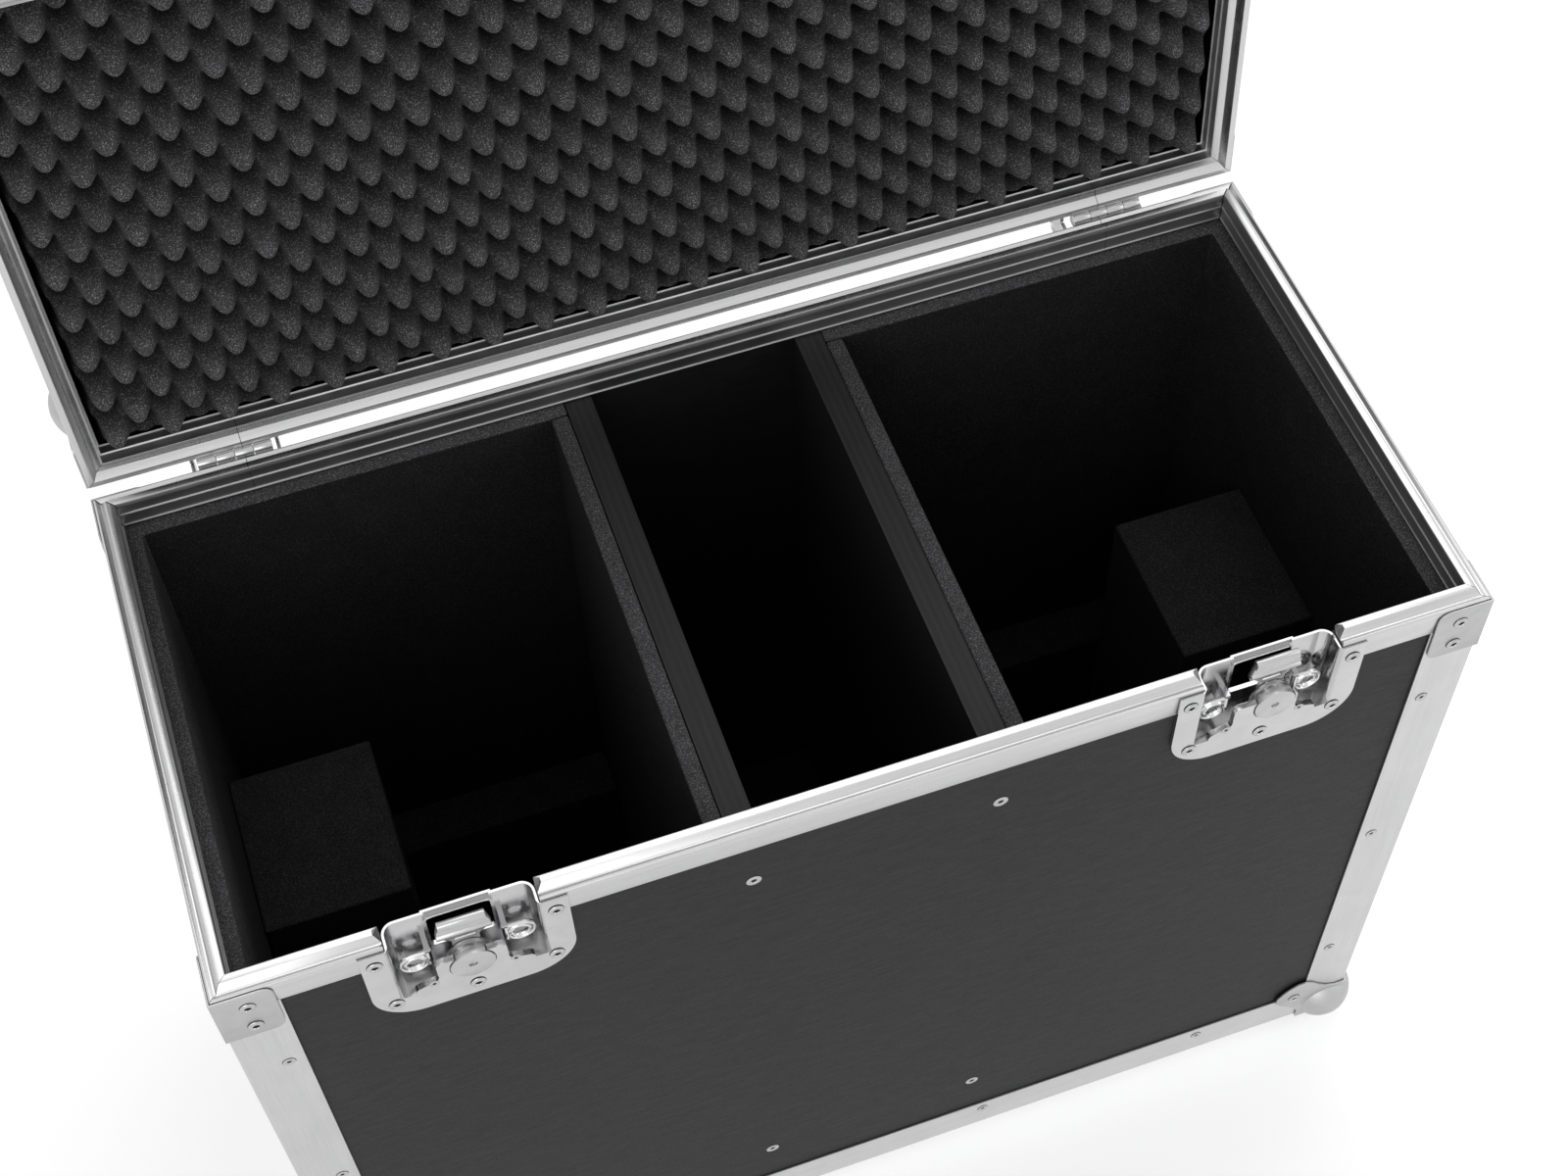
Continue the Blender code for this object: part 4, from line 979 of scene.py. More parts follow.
# Base foam colours: the main colours are painted shade, darker than the foam itself, and the top colours
# are painted light on faces that look up.
SHADED_BLOCK_FOAM = (0.014, 0.014, 0.0145)
SHADED_WALL_FOAM = (0.0125, 0.0125, 0.013)
LIT_TOP_FOAM = (0.066, 0.066, 0.069)
LIT_BLOCK_TOP_FOAM = (0.026, 0.026, 0.0275)
PLY = (0.0165, 0.0168, 0.0165)
BLACK = (0.018, 0.018, 0.018)
# Painted shade in fastener holes and round the feet of their heads.
HOLE_SHADE_BLACK = (0.004, 0.004, 0.004)


class Paintbox:
    """Every finish of the case, made once and handed out by name."""

    def __init__(self) -> None:
        """Make the finishes."""
        finishes = (
            Laminate("laminate", LAMINATE, 0.55),
            Laminate("lid_laminate", LAMINATE, 0.55, on_lid=True),
            Extrusion("edge_aluminium", ALUMINIUM, 0.30, 1.0),
            Extrusion("lid_aluminium", ALUMINIUM, 0.30, 1.0, on_lid=True),
            Extrusion("upright_aluminium", ALUMINIUM, 0.32, 1.0, run=Run.UPRIGHT),
            # The rims' wall shares paint shade onto their inner walls.
            Extrusion("rim_aluminium", ALUMINIUM, 0.27, 1.0, edge=0.00015, butt=BUTT_X,
                      wall=0.48),
            Extrusion("lid_rim_aluminium", ALUMINIUM, 0.27, 1.0, on_lid=True, edge=0.00015,
                      butt=BUTT_X, wall=0.85),
            PressedSteel("bright_steel", STEEL, 0.22, 1.0),
            PressedSteel("satin_steel", STEEL, 0.40, 1.0),
            PressedSteel("dish_steel", DISH_STEEL, 0.13, 1.0),
            PressedSteel("wire_steel", WIRE_STEEL, 0.10, 1.0),
            PressedSteel("turned_zinc", ZINC, 0.27, 1.0, grain=(0.03, 1.0, 0.03)),
            PressedSteel("rivet_steel", STEEL, 0.24, 1.0),
            # The lid foam's hollow share paints shade into the hollows between its points.
            Foam("lid_foam_finish", FOAM, 1.0, on_lid=True, hollow=0.12),
            # Lit and shaded foam: the main colour is painted shade and the top colour is painted light.
            Foam("lining_foam_finish", SHADED_WALL_FOAM, 1.0, density=800.0, top=LIT_TOP_FOAM, speck=2.1),
            Foam("block_foam_finish", SHADED_BLOCK_FOAM, 1.0, density=850.0, top=LIT_BLOCK_TOP_FOAM, speck=1.7),
            StainedPly("divider_ply", PLY, 0.6),
            SatinPaint("grip_paint", BLACK, 0.42),
            # This black is painted shade for the fasteners' holes and the rings round their heads.
            SatinPaint("painted_shade_black", HOLE_SHADE_BLACK, 0.8),
        )
        self.made = {finish.name: finish.make() for finish in finishes}

    def dress(self, obj: bpy.types.Object, name: str) -> None:
        """Give a piece one finish all over.

        Args:
            obj: The piece.
            name: The finish's name.
        """
        if not obj.data.materials:
            obj.data.materials.append(None)
        for index in range(len(obj.data.materials)):
            obj.data.materials[index] = self.made[name]


class CarriedNodes:
    """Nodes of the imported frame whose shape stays, with the finish of each."""

    def finishes(self) -> dict[str, str]:
        """Return the finish of each node that stays.

        Returns:
            Names of finishes by node.
        """
        found = {
            "bottom_edge_frame": "edge_aluminium",
            "lid_edge_frame": "lid_aluminium",
            "lid_box": "lid_laminate",
        }
        for name in ("bottom", "front", "back", "left", "right"):
            found[name + "_panel"] = "laminate"
        for corner in CORNERS:
            found["edge_" + corner] = "upright_aluminium"
        for side in SIDES:
            found["divider_" + side] = "divider_ply"
            found["handle_bail_" + side] = "grip_paint"
        return found

    def dress(self, paints: Paintbox) -> None:
        """Assign the finishes.

        Args:
            paints: The finishes.
        """
        for node, finish in self.finishes().items():
            paints.dress(frame["nodes"][node], finish)
        log.info("dressed %d nodes of the frame", len(self.finishes()))


@dataclass
class CutFoam:
    """Foam cut from sheet: a soft copy of its solid, with rounded cut edges."""

    round_edge: float = 0.0016
    fill: float = 0.9

    def pad(self, node: str, paints: Paintbox) -> None:
        """Make the foam piece that stands for a node.

        Args:
            node: The node's name.
            paints: The finishes.
        """
        piece = copied(node, node + "_pad")
        make_whole(piece, merge=0.00001, flat=1)
        apply_modifier(piece, "BEVEL", width=self.round_edge, segments=2, limit_method="ANGLE",
                       angle_limit=math.radians(40), use_clamp_overlap=True)
        edit(piece)
        bpy.ops.mesh.select_all(action="SELECT")
        bpy.ops.mesh.quads_convert_to_tris()
        leave()
        settle(piece, node + "_pad", crease=50)
        paints.dress(piece, "lining_foam_finish" if "lining" in node or "divider" in node
                     else "block_foam_finish")
        stand_in(piece, node, "base")

    def build(self, paints: Paintbox) -> None:
        """Make every cut foam piece of the base.

        Args:
            paints: The finishes.
        """
        for side in SIDES:
            for part in ("lining_", "divider_foam_", "foam_block_", "foam_strip_"):
                self.pad(part + side, paints)
        log.info("cut foam pieces made")


@dataclass
class ConvolutedFoam:
    """Foam sheet of the lid with staggered soft points that droop a little."""

    pitch_x: float = 0.01465
    pitch_y: float = 0.0143
    columns: int = 43
    first_row: float = 0.022
    tip_height: float = 0.0062
    valley: float = 0.0335
    margin: float = 0.006
    droop: float = 0.0042
    bend: float = 1.6
    samples: int = 9
    fullness: float = 1.45
    unevenness: float = 0.0012
    lumps: float = 22
    sway: float = 0.0012
    sways: float = 30
    fill: float = 0.8

    def height(self, x: float, y: float) -> float:
        """Return how far the sheet stands up at a place, from 0 in a hollow to 1 at a point.

        Args:
            x: Place across, in pitches from a point.
            y: Place up the lid, in pitches from a point.

        Returns:
            The share of the height.
        """
        share = (1 + math.cos(math.pi * x) * math.cos(math.pi * y)) / 2
        return 1 - (1 - share) ** self.fullness

    def build(self, paints: Paintbox) -> None:
        """Model the sheet in the closed pose and turn it with the lid.

        Args:
            paints: The finishes.
        """
        low, high = self.limits()
        count_x = round((high.x - low.x) / self.pitch_x * self.samples)
        count_y = round((high.y - low.y) / self.pitch_y * self.samples)
        bpy.ops.mesh.primitive_grid_add(x_subdivisions=count_x, y_subdivisions=count_y, size=1.0)
        sheet = bpy.context.object
        first = CASE.back - self.first_row
        tip = CASE.rim + self.tip_height
        for vertex in sheet.data.vertices:
            x = low.x + (vertex.co.x + 0.5) * (high.x - low.x)
            y = low.y + (vertex.co.y + 0.5) * (high.y - low.y)
            column = x / self.pitch_x + (self.columns - 1) / 2
            row = (first - y) / self.pitch_y
            rise = self.height(column, row)
            lump = noise.noise(Vector((x, y, 0)) * self.lumps) * self.unevenness
            shift = self.droop * rise ** self.bend
            away = min(x - low.x, high.x - x, y - low.y, high.y - y)
            fade = min(1.0, away / self.margin)
            level = tip + self.valley * (1 - rise * fade) + lump * rise
            sway = noise.noise(Vector((x, y, 3.0)) * self.sways) * self.sway * rise
            vertex.co = (x + sway * fade, y + shift * fade, level)
        edit(sheet, "EDGE")
        bpy.ops.mesh.select_non_manifold(extend=False)
        bpy.ops.mesh.extrude_edges_move(TRANSFORM_OT_translate={"value": (0, 0, 0)})
        leave()
        for vertex in sheet.data.vertices:
            if vertex.select:
                vertex.co.z = high.z
        edit(sheet, "EDGE")
        bpy.ops.mesh.select_non_manifold(extend=False)
        bpy.ops.mesh.edge_face_add()
        leave()
        face_outward(sheet)
        sheet.matrix_world = CASE.lid_matrix()
        settle(sheet, "lid_foam_points", crease=80)
        paints.dress(sheet, "lid_foam_finish")
        stand_in(sheet, "lid_foam", "lid")
        log.info("lid foam has %d faces", len(sheet.data.polygons))

    def limits(self) -> tuple[Vector, Vector]:
        """Find the closed sheet's box from its node in the open pose.

        Returns:
            Its low and its high corner.
        """
        back_turn = CASE.lid_matrix().inverted()
        points = [back_turn @ vertex.co for vertex in frame["nodes"]["lid_foam"].data.vertices]
        low = Vector([min(point[axis] for point in points) for axis in range(3)])
        high = Vector([max(point[axis] for point in points) for axis in range(3)])
        return low, high


@dataclass
class SheetMetal:
    """Pressed pieces whose shape stays, copied with their cut edges rounded."""

    edge: float = 0.00035

    def build(self, paints: Paintbox) -> None:
        """Make the rounded copies.

        Args:
            paints: The finishes.
        """
        for corner in CORNERS:
            self.copy("brace_" + corner, "base", "satin_steel", paints)
        for side in SIDES:
            self.copy("hinge_leaf_" + side, "base", "bright_steel", paints)
            self.copy("lid_leaf_" + side, "lid", "bright_steel", paints)
            self.copy("keeper_" + side, "lid", "bright_steel", paints)
            self.copy("handle_dish_" + side, "base", "bright_steel", paints)
        log.info("sheet pieces rounded")

    def copy(self, node: str, body: str, finish: str, paints: Paintbox) -> None:
        """Make the copy that stands for one node.

        Args:
            node: The node's name.
            body: The body that carries it.
            finish: Name of its finish.
            paints: The finishes.
        """
        piece = copied(node, node + "_sheet")
        soften(piece, self.edge)
        settle(piece, node + "_sheet")
        paints.dress(piece, finish)
        stand_in(piece, node, body)


@dataclass
class Rims:
    """Closure profiles: a channel behind the base's lip, a broad ridge, and the lid's match.

    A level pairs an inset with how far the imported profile's top moves there.
    """

    edge: float = 0.00016
    inner: float = 0.0098
    base_low: float = -0.0022
    lid_high: float = 0.0052
    base_levels: Places = (
        (0.0, 0.0006), (0.0011, 0.0), (0.0029, -0.0046), (0.0038, -0.0046), (0.0064, 0.0044),
        (0.0076, 0.0044), (0.0092, 0.0))
    lid_levels: Places = (
        (0.0009, 0.0), (0.0024, -0.0044), (0.0037, -0.0044), (0.0064, 0.0044), (0.0074, 0.0044),
        (0.0090, 0.0))
    end_reach: float = 0.0406
    end_slope: float = 0.0030

    def __post_init__(self) -> None:
        """Find the outer face of the back length."""
        self.back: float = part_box("rim_back")[1][1]

    def build(self, paints: Paintbox) -> None:
        """Make the four lengths of the base and the lid's ring.

        Args:
            paints: The finishes.
        """
        for name in ("front", "left", "right", "back"):
            self.copy("rim_" + name, "base", Matrix(), self.base_levels, "rim_aluminium", paints)
        self.copy("lid_rim", "lid", CASE.lid_matrix(), self.lid_levels, "lid_rim_aluminium", paints)
        log.info("rims made")

    def moved(self, inset: float, levels: Places) -> float:
        """Return how far the profile's top moves at an inset.

        Args:
            inset: Distance inward from the case's outer face.
            levels: How far the top moves at each inset.

        Returns:
            The move.
        """
        for (start, first), (end, last) in zip(levels, levels[1:]):
            if start <= inset <= end:
                return first + (last - first) * (inset - start) / (end - start)
        return levels[0][1] if inset < levels[0][0] else 0.0

    def copy(self, node: str, body: str, place: Matrix, levels: Places,
             finish: str, paints: Paintbox) -> None:
        """Make the length that stands for one node.

        Args:
            node: The node's name.
            body: The body that carries it.
            place: Turn from the closed pose to the pose of the node.
            levels: How far the profile's top moves at each inset.
            finish: Name of its finish.
            paints: The finishes.
        """
        piece = copied(node, node + "_run")
        piece.data.transform(place.inverted())
        make_whole(piece)
        for vertex in piece.data.vertices:
            x, y, z = vertex.co
            inset = min(CASE.half_x - abs(x), y - CASE.front, self.back - y)
            rise = z - CASE.rim
            if inset > self.inner or not self.base_low < rise < self.lid_high:
                continue
            vertex.co.z += self.moved(inset, levels)
            from_latch = abs(x) - (CASE.half_x - LATCH_INSET)
            if body == "base" and y < CASE.middle and abs(from_latch) < self.end_reach:
                share = max(0.0, vertex.co.z - CASE.rim) / CASE.ridge
                vertex.co.x += math.copysign(self.end_slope * share, from_latch * x)
        piece.data.transform(place)
        soften(piece, self.edge)
        settle(piece, node + "_run")
        paints.dress(piece, finish)
        stand_in(piece, node, body)


@dataclass
class BallCorners:
    """Pressed ball corners: a ball with a rounded petal on each of three faces."""

    inset: float = 0.011
    radius: float = 0.0213
    segments: int = 56
    rings: int = 36
    gap: float = 0.0003
    sheet: float = 0.0011
    reach: float = 0.0505
    foot: float = 0.0005
    fillet: float = 0.0026
    edge: float = 0.0003
    ball_play: float = 0.0002
    petal_play: float = 0.00002
    brace_leg: float = 0.0289
    brace_root: float = 0.0010
    brace_low: float = 0.0200
    brace_high: float = 0.0610
    brace_round: float = 0.006
    root_share: float = 0.61
    petal_shares: Places = (
        (0.61, 0.14), (0.68, 0.28), (0.79, 0.40), (0.91, 0.50), (0.98, 0.60), (0.98, 0.72),
        (0.91, 0.83), (0.83, 0.91), (0.72, 0.98), (0.60, 0.98), (0.50, 0.91), (0.40, 0.79),
        (0.28, 0.68), (0.14, 0.61))

    def build(self, paints: Paintbox) -> None:
        """Make one corner of each kind and its turned copies.

        Args:
            paints: The finishes.
        """
        base, lid = self.shell(False), self.shell(True)
        for corner in CORNERS:
            sx, sy = signs(corner)
            x, y = sx * CASE.half_x, CASE.front if sy < 0 else CASE.back
            place = Matrix.Translation((x, y, CASE.bottom)) @ Matrix.Diagonal((-sx, -sy, 1, 1))
            self.copy(base, place, "ball_corner_" + corner, "base", paints)
            place = CASE.lid_matrix() @ Matrix.Translation((x, y, CASE.top))
            place = place @ Matrix.Diagonal((-sx, -sy, -1, 1))
            self.copy(lid, place, "lid_corner_" + corner, "lid", paints)
        discard(base)
        discard(lid)
        log.info("ball corners made")

    def shell(self, lid: bool) -> bpy.types.Object:
        """Model a corner in inward distances from three faces that meet at the origin.

        Args:
            lid: Whether it is the lid's, which has a rim brace in one piece with it.

        Returns:
            The corner.
        """
        bpy.ops.object.select_all(action="DESELECT")
        bpy.ops.mesh.primitive_uv_sphere_add(segments=self.segments, ring_count=self.rings,
                                             radius=self.radius, location=(self.inset,) * 3)
        ball = bpy.context.object
        bpy.ops.object.transform_apply(location=True)
        start = -(self.gap + self.sheet)
        petal = [(self.reach * a, self.reach * b) for a, b in self.petal_shares]
        root = self.reach * self.root_share
        outline = [(start, start), (root, start), *petal, (start, root)]
        for axis in "xyz":
            combine(ball, "UNION", extruded("petal", outline, axis, start, -self.gap))
        if lid:
            plate = rounded([(start, self.brace_low, 0), (start, self.brace_high, 0),
                             (self.brace_leg, self.brace_high, self.brace_round),
                             (self.brace_leg, self.brace_low, self.brace_round)])
            near = start + self.sheet - self.brace_root
            for axis in "xy":
                combine(ball, "UNION", extruded("brace", plate, axis, near, -self.gap))
        deep = self.reach * 2
        block = oblong((-self.gap, -self.gap), (deep, deep))
        combine(ball, "DIFFERENCE", extruded("case", block, "z", -self.gap, deep))
        if not lid:
            low = self.inset - self.radius
            wide = oblong((low - 1, low - 1), (deep, deep))
            combine(ball, "DIFFERENCE", extruded("floor", wide, "z", low - 1, low + self.foot))
        self.blend_in(ball, start)
        soften(ball, self.edge)
        return ball

    def blend_in(self, ball: bpy.types.Object, face: float) -> None:
        """Fillet the line where the ball rises out of its petals.

        Args:
            ball: The corner.
            face: Level of the petals' outer faces.
        """
        centre = Vector((self.inset,) * 3)
        edit(ball, "EDGE")
        bm = bmesh.from_edit_mesh(ball.data)
        for edge in bm.edges:
            ends = [vert.co for vert in edge.verts]
            on_ball = all(abs((end - centre).length - self.radius) < self.ball_play for end in ends)
            on_petal = any(all(abs(end[axis] - face) < self.petal_play for end in ends)
                           for axis in range(3))
            edge.select_set(on_ball and on_petal)
        bmesh.update_edit_mesh(ball.data)
        bpy.ops.mesh.bevel(offset=self.fillet, segments=4, clamp_overlap=True)
        leave()

    def copy(self, model: bpy.types.Object, place: Matrix, node: str, body: str,
             paints: Paintbox) -> None:
        """Stand a mirrored copy on a corner in place of its node.

        Args:
            model: The corner in inward distances.
            place: Matrix that places it.
            node: The node it stands for.
            body: The body that carries it.
            paints: The finishes.
        """
        piece = bpy.data.objects.new(node + "_shell", model.data.copy())
        bpy.context.scene.collection.objects.link(piece)
        piece.data.transform(place)
        face_outward(piece)
        settle(piece, node + "_shell", crease=30)
        paints.dress(piece, "satin_steel")
        stand_in(piece, node, body)


@dataclass
class Latch:
    """Recessed butterfly latch, modelled about the point where its face meets the rim plane.

    The right one stands part way through its turn, so its hub and claw are shifted.
    """

    side: str
    shift: float = 0.0
    rise: float = 0.0
    face: float = 0.0013
    sheet: float = 0.0012
    flange: float = 0.0010
    step: float = 0.0015
    gap: float = 0.0003
    skirt: float = 0.018
    plate_half: float = 0.0512
    plate_bottom: float = 0.071
    plate_round: float = 0.025
    top: float = 0.0034
    depth: float = 0.01395
    half: float = 0.0362
    bottom: float = 0.054
    corner: float = 0.0055
    mouth: float = 0.0030
    cage_half: float = 0.0158
    cage_top: float = 0.0075
    cage_bottom: float = 0.0345
    cage_round: float = 0.0020
    bead: float = 0.0012
    dish_edge: float = 0.00042
    relief_half: float = 0.0160
    relief_bottom: float = 0.0066
    relief_depth: float = 0.0009
    platform_top: float = 0.0315
    platform_half: float = 0.0176
    shoulder: float = 0.0466
    foot_half: float = 0.0300
    foot: float = 0.0508
    bend: float = 0.0030
    shoulder_bend: float = 0.0035
    lip: float = 0.0032
    hub_drop: float = 0.0400
    hub_radius: float = 0.0112
    hub_height: float = 0.0080
    hub_proud: float = 0.0007
    hub_edge: float = 0.00028
    hub_sides: int = 64
    groove_share: float = 0.70
    groove_width: float = 0.0005
    groove_depth: float = 0.0006
    drum_inset: float = 0.0001
    hex_radius: float = 0.0024
    hex_depth: float = 0.0012
    notch_play: float = 0.0006
    bore: float = 0.0040
    bore_sides: int = 20
    spindle: float = 0.0025
    spindle_reach: float = 0.0037
    claw_top: float = 0.0055
    claw_bar: float = 0.0198
    claw_tail: float = 0.0458
    claw_sheet: float = 0.0015
    claw_proud: float = 0.0024
    claw_bead: float = 0.0021
    neck_drop: float = 2.1
    fold_drop: float = 2.5
    claw_top_half: float = 0.0117
    claw_bar_half: float = 0.0138
    claw_tail_half: float = 0.0070
    claw_edge: float = 0.00022
    rib: float = 0.0007
    fold: float = 0.0010
    slot_half: float = 0.0055
    slot_low: float = 0.0072
    slot_high: float = 0.0046
    slot_round: float = 0.0005
    window_play: float = 0.0005
    window_round: float = 0.4
    stroke: float = 0.008
    wing_drop: float = 0.0375
    pivot: float = 0.0192
    setback: float = 0.0080
    ring: float = 0.0071
    ring_lift: float = 0.0010
    ring_steps: int = 52
    ring_turns: float = 1.9
    ring_narrowing: float = 0.36
    narrowing_start: float = 0.30
    narrowing_length: float = 0.22
    wire: float = 0.00125
    wire_sides: int = 24
    knuckle: float = 0.0023
    knuckle_radius: float = 0.0018
    ear: float = 0.0013

    def __post_init__(self) -> None:
        """Find the latch's place on the case."""
        self.sign = -1 if self.side == "left" else 1
        self.origin = Vector((self.sign * (CASE.half_x - LATCH_INSET), CASE.front, CASE.rim))
        self.hub = (self.shift, self.rise - self.hub_drop)

    def build(self, paints: Paintbox) -> None:
        """Make the dish, the hub, the claw and both wings.

        Args:
            paints: The finishes.
        """
        self.finish(self.dish(), "latch_dish_" + self.side, "base", "dish_steel", paints)
        self.finish(self.turning_hub(), "hub_" + self.side, "hub_" + self.side, "turned_zinc", paints)
        self.finish(self.claw(), "claw_" + self.side, "claw_" + self.side, "turned_zinc", paints)
        for name, way in (("outer", self.sign), ("inner", -self.sign)):
            node = f"wing_{self.side}_{name}"
            self.finish(self.wing(way), node, node, "wire_steel", paints)
        log.info("latch %s made", self.side)

    def finish(self, piece: bpy.types.Object, node: str, body: str, finish: str,
               paints: Paintbox) -> None:
        """Move a piece to its place and let it stand for its node.

        Args:
            piece: The piece, about the latch's own point.
            node: The node it stands for.
            body: The body that carries it.
            finish: Name of its finish.
            paints: The finishes.
        """
        piece.location = self.origin
        settle(piece, node + "_part", crease=32)
        paints.dress(piece, finish)
        stand_in(piece, node, body)

    def outline_of_plate(self, top: float) -> Outline:
        """Draw the outline of the flange from a height down.

        Args:
            top: The height.

        Returns:
            The outline in x and z.
        """
        return rounded([(-self.plate_half, top, 0), (self.plate_half, top, 0),
                        (self.plate_half, -self.plate_bottom, self.plate_round),
                        (-self.plate_half, -self.plate_bottom, self.plate_round)], 20)

    def recess_plan(self, half: float, mouth: float, front: float, floor: float, corner: float,
                    mouth_round: float) -> Outline:
        """Draw the plan of the recess: a rounded mouth, side walls and round back corners.

        Args:
            half: Half its width between the side walls.
            mouth: Half its width at the mouth.
            front: Level of the mouth.
            floor: Level of the floor.
            corner: Radius of the back corners.
            mouth_round: Radius of the mouth's edges.

        Returns:
            The outline in x and y.
        """
        neck = front + (mouth - half)
        return rounded([(-mouth, front, 0), (-half, neck, mouth_round), (-half, floor, corner),
                        (half, floor, corner), (half, neck, mouth_round), (mouth, front, 0)])

    def dish(self) -> bpy.types.Object:
        """Model the pressed dish: flange, recess, relief, cage opening, platform and pivots.

        Returns:
            The dish.
        """
        front, floor = -self.face, self.depth - self.face
        middle = front + self.flange / 2
        back = floor + self.sheet
        dish = extruded("dish", self.outline_of_plate(-self.top), "y", front, front + self.flange)
        seat = self.outline_of_plate(-self.skirt - self.gap)
        combine(dish, "UNION", extruded("seat", seat, "y", middle, self.step - self.gap))
        wall = self.half + self.sheet
        shell = self.recess_plan(wall, wall, middle, back, self.corner + self.sheet, 0)
        combine(dish, "UNION", extruded("shell", shell, "z", -self.bottom - self.sheet, -self.top))
        joggle = self.relief_half + self.sheet
        deep = floor + self.relief_depth + self.sheet
        box = oblong((-joggle, floor + self.sheet / 2), (joggle, deep))
        combine(dish, "UNION", extruded("joggle", box, "z", -self.relief_bottom, -self.top))
        inner = self.recess_plan(self.half, self.half + self.mouth, front - self.mouth / 3, floor,
                                 self.corner, self.mouth)
        combine(dish, "DIFFERENCE", extruded("recess", inner, "z", -self.bottom, OVER - self.top))
        half, relief = self.relief_half, floor + self.relief_depth
        box = oblong((-half, floor - OVER), (half, relief))
        combine(dish, "DIFFERENCE", extruded("relief", box, "z", self.sheet - self.relief_bottom,
                                             OVER - self.top))
        for name, grow, low, high, operation in (
                ("bead", self.bead, floor - self.bead, floor + self.sheet / 2, "UNION"),
                ("cage", 0.0, floor - OVER, back + OVER, "DIFFERENCE")):
            a, low_b, high_b = self.cage_half + grow, -self.cage_bottom - grow, grow / 2 - self.cage_top
            hole = oblong((-a, low_b), (a, high_b), self.cage_round, 5)
            combine(dish, operation, extruded(name, hole, "y", low, high))
        combine(dish, "UNION", self.platform())
        reach = front - self.hub_proud + self.hub_height - self.spindle_reach
        spindle = circle(*self.hub, self.spindle, self.bore_sides)
        combine(dish, "UNION", extruded("spindle", spindle, "y", reach, floor + self.sheet / 2))
        for x in (-self.pivot, self.pivot):
            near, deep, half = front + self.setback - self.ear, floor + self.sheet / 2, self.ear
            box = oblong((x - half, near), (x + half, deep))
            high = self.ring_lift + self.ring + self.wire + self.gap
            for low in (-self.knuckle - self.gap - half, high):
                low -= self.wing_drop
                combine(dish, "UNION", extruded("ear", box, "z", low, low + half))
        soften(dish, self.dish_edge, segments=3, angle=40)
        return dish

    def platform(self) -> bpy.types.Object:
        """Model the raised platform with its turned-in lip and the notch for the hub.

        Returns:
            The platform.
        """
        front = -self.face
        plate = extruded("platform", self.platform_outline(0), "y", front, front + self.lip)
        hollow = extruded("hollow", self.platform_outline(self.sheet), "y", front + self.sheet,
                          front + self.lip + OVER)
        notch = circle(*self.hub, self.hub_radius + self.notch_play)
        tool = extruded("notch", notch, "y", front - OVER, front + self.lip + OVER)
        return combine(plate, "DIFFERENCE", hollow, tool)

    def platform_outline(self, inset: float) -> Outline:
        """Draw the platform's outline, or one further in.

        Args:
            inset: How much further in.

        Returns:
            The outline in x and z.
        """
        low = -self.bottom - self.sheet / 2
        half, wide = self.platform_half - inset, self.foot_half - inset
        top, shoulder, foot = -self.platform_top - inset, -self.shoulder - inset, -self.foot - inset
        side = [(wide, low, 0), (wide, foot, self.bend), (half, shoulder, self.shoulder_bend),
                (half, top, self.bend)]
        return rounded([(-a, b, radius) for a, b, radius in side] + side[::-1], 6)

    def turning_hub(self) -> bpy.types.Object:
        """Model the hub: a disc over a grooved drum, with a hexagon recess.

        Returns:
            The hub.
        """
        front = -self.face - self.hub_proud
        back = front + self.hub_height
        groove = front + self.hub_height * self.groove_share
        neck = circle(*self.hub, self.hub_radius - self.groove_depth, self.hub_sides)
        drum = circle(*self.hub, self.hub_radius - self.drum_inset, self.hub_sides)
        hexagon = circle(*self.hub, self.hex_radius, sides=6)
        bore = circle(*self.hub, self.spindle + self.gap, self.bore_sides)
        disc = circle(*self.hub, self.hub_radius, self.hub_sides)
        hub = extruded("hub", disc, "y", front, groove)
        combine(hub, "UNION", extruded("neck", neck, "y", front + OVER / 2, back),
                extruded("drum", drum, "y", groove + self.groove_width, back))
        combine(hub, "DIFFERENCE",
                extruded("hexagon", hexagon, "y", front - OVER / 2, front + self.hex_depth),
                extruded("bore", bore, "y", back - self.bore, back + OVER / 2))
        soften(hub, self.hub_edge)
        return hub

    def claw(self) -> bpy.types.Object:
        """Model the claw: a rolled bead, a ribbed bar, a step and a slotted tail plate.

        Returns:
            The claw.
        """
        back = -self.face - self.hub_proud + self.hub_height + self.gap
        front, deep = back - self.claw_proud, back + self.claw_sheet
        top, bar = self.rise - self.claw_top, self.rise - self.claw_bar
        tail, bead = self.rise - self.claw_tail, self.claw_bead
        rib, fold = self.rib, self.fold
        profile = [(front, top - bead), (front, top - bead * self.neck_drop),
                   (front + fold, top - bead * self.fold_drop), (front + fold, bar + rib * 6),
                   (front, bar + rib * 5), (front, bar + rib * 3),
                   (front + rib, bar + rib * 2), (front + rib, bar), (back, bar - rib), (back, tail),
                   (deep, tail), (deep, top - bead)]
        ends = self.shift - self.claw_bar_half, self.shift + self.claw_bar_half
        claw = extruded("claw", profile, "x", *ends)
        roll = circle(front + bead, top - bead, bead, self.wire_sides)
        combine(claw, "UNION", extruded("roll", roll, "x", *ends))
        wide = self.claw_bar_half + OVER
        drop = self.claw_bar_half - self.claw_tail_half
        for way in (-1, 1):
            trim = [(self.claw_top_half, top + OVER), (self.claw_top_half, top - bead),
                    (self.claw_bar_half, bar + bead), (self.claw_bar_half, bar),
                    (self.claw_tail_half, bar - drop), (self.claw_tail_half, tail - OVER),
                    (wide, tail - OVER), (wide, top + OVER)]
            trim = [(self.shift + way * a, b) for a, b in trim]
            combine(claw, "DIFFERENCE", extruded("trim", trim, "y", front - OVER, deep + OVER))
        reach = self.spindle + self.window_play
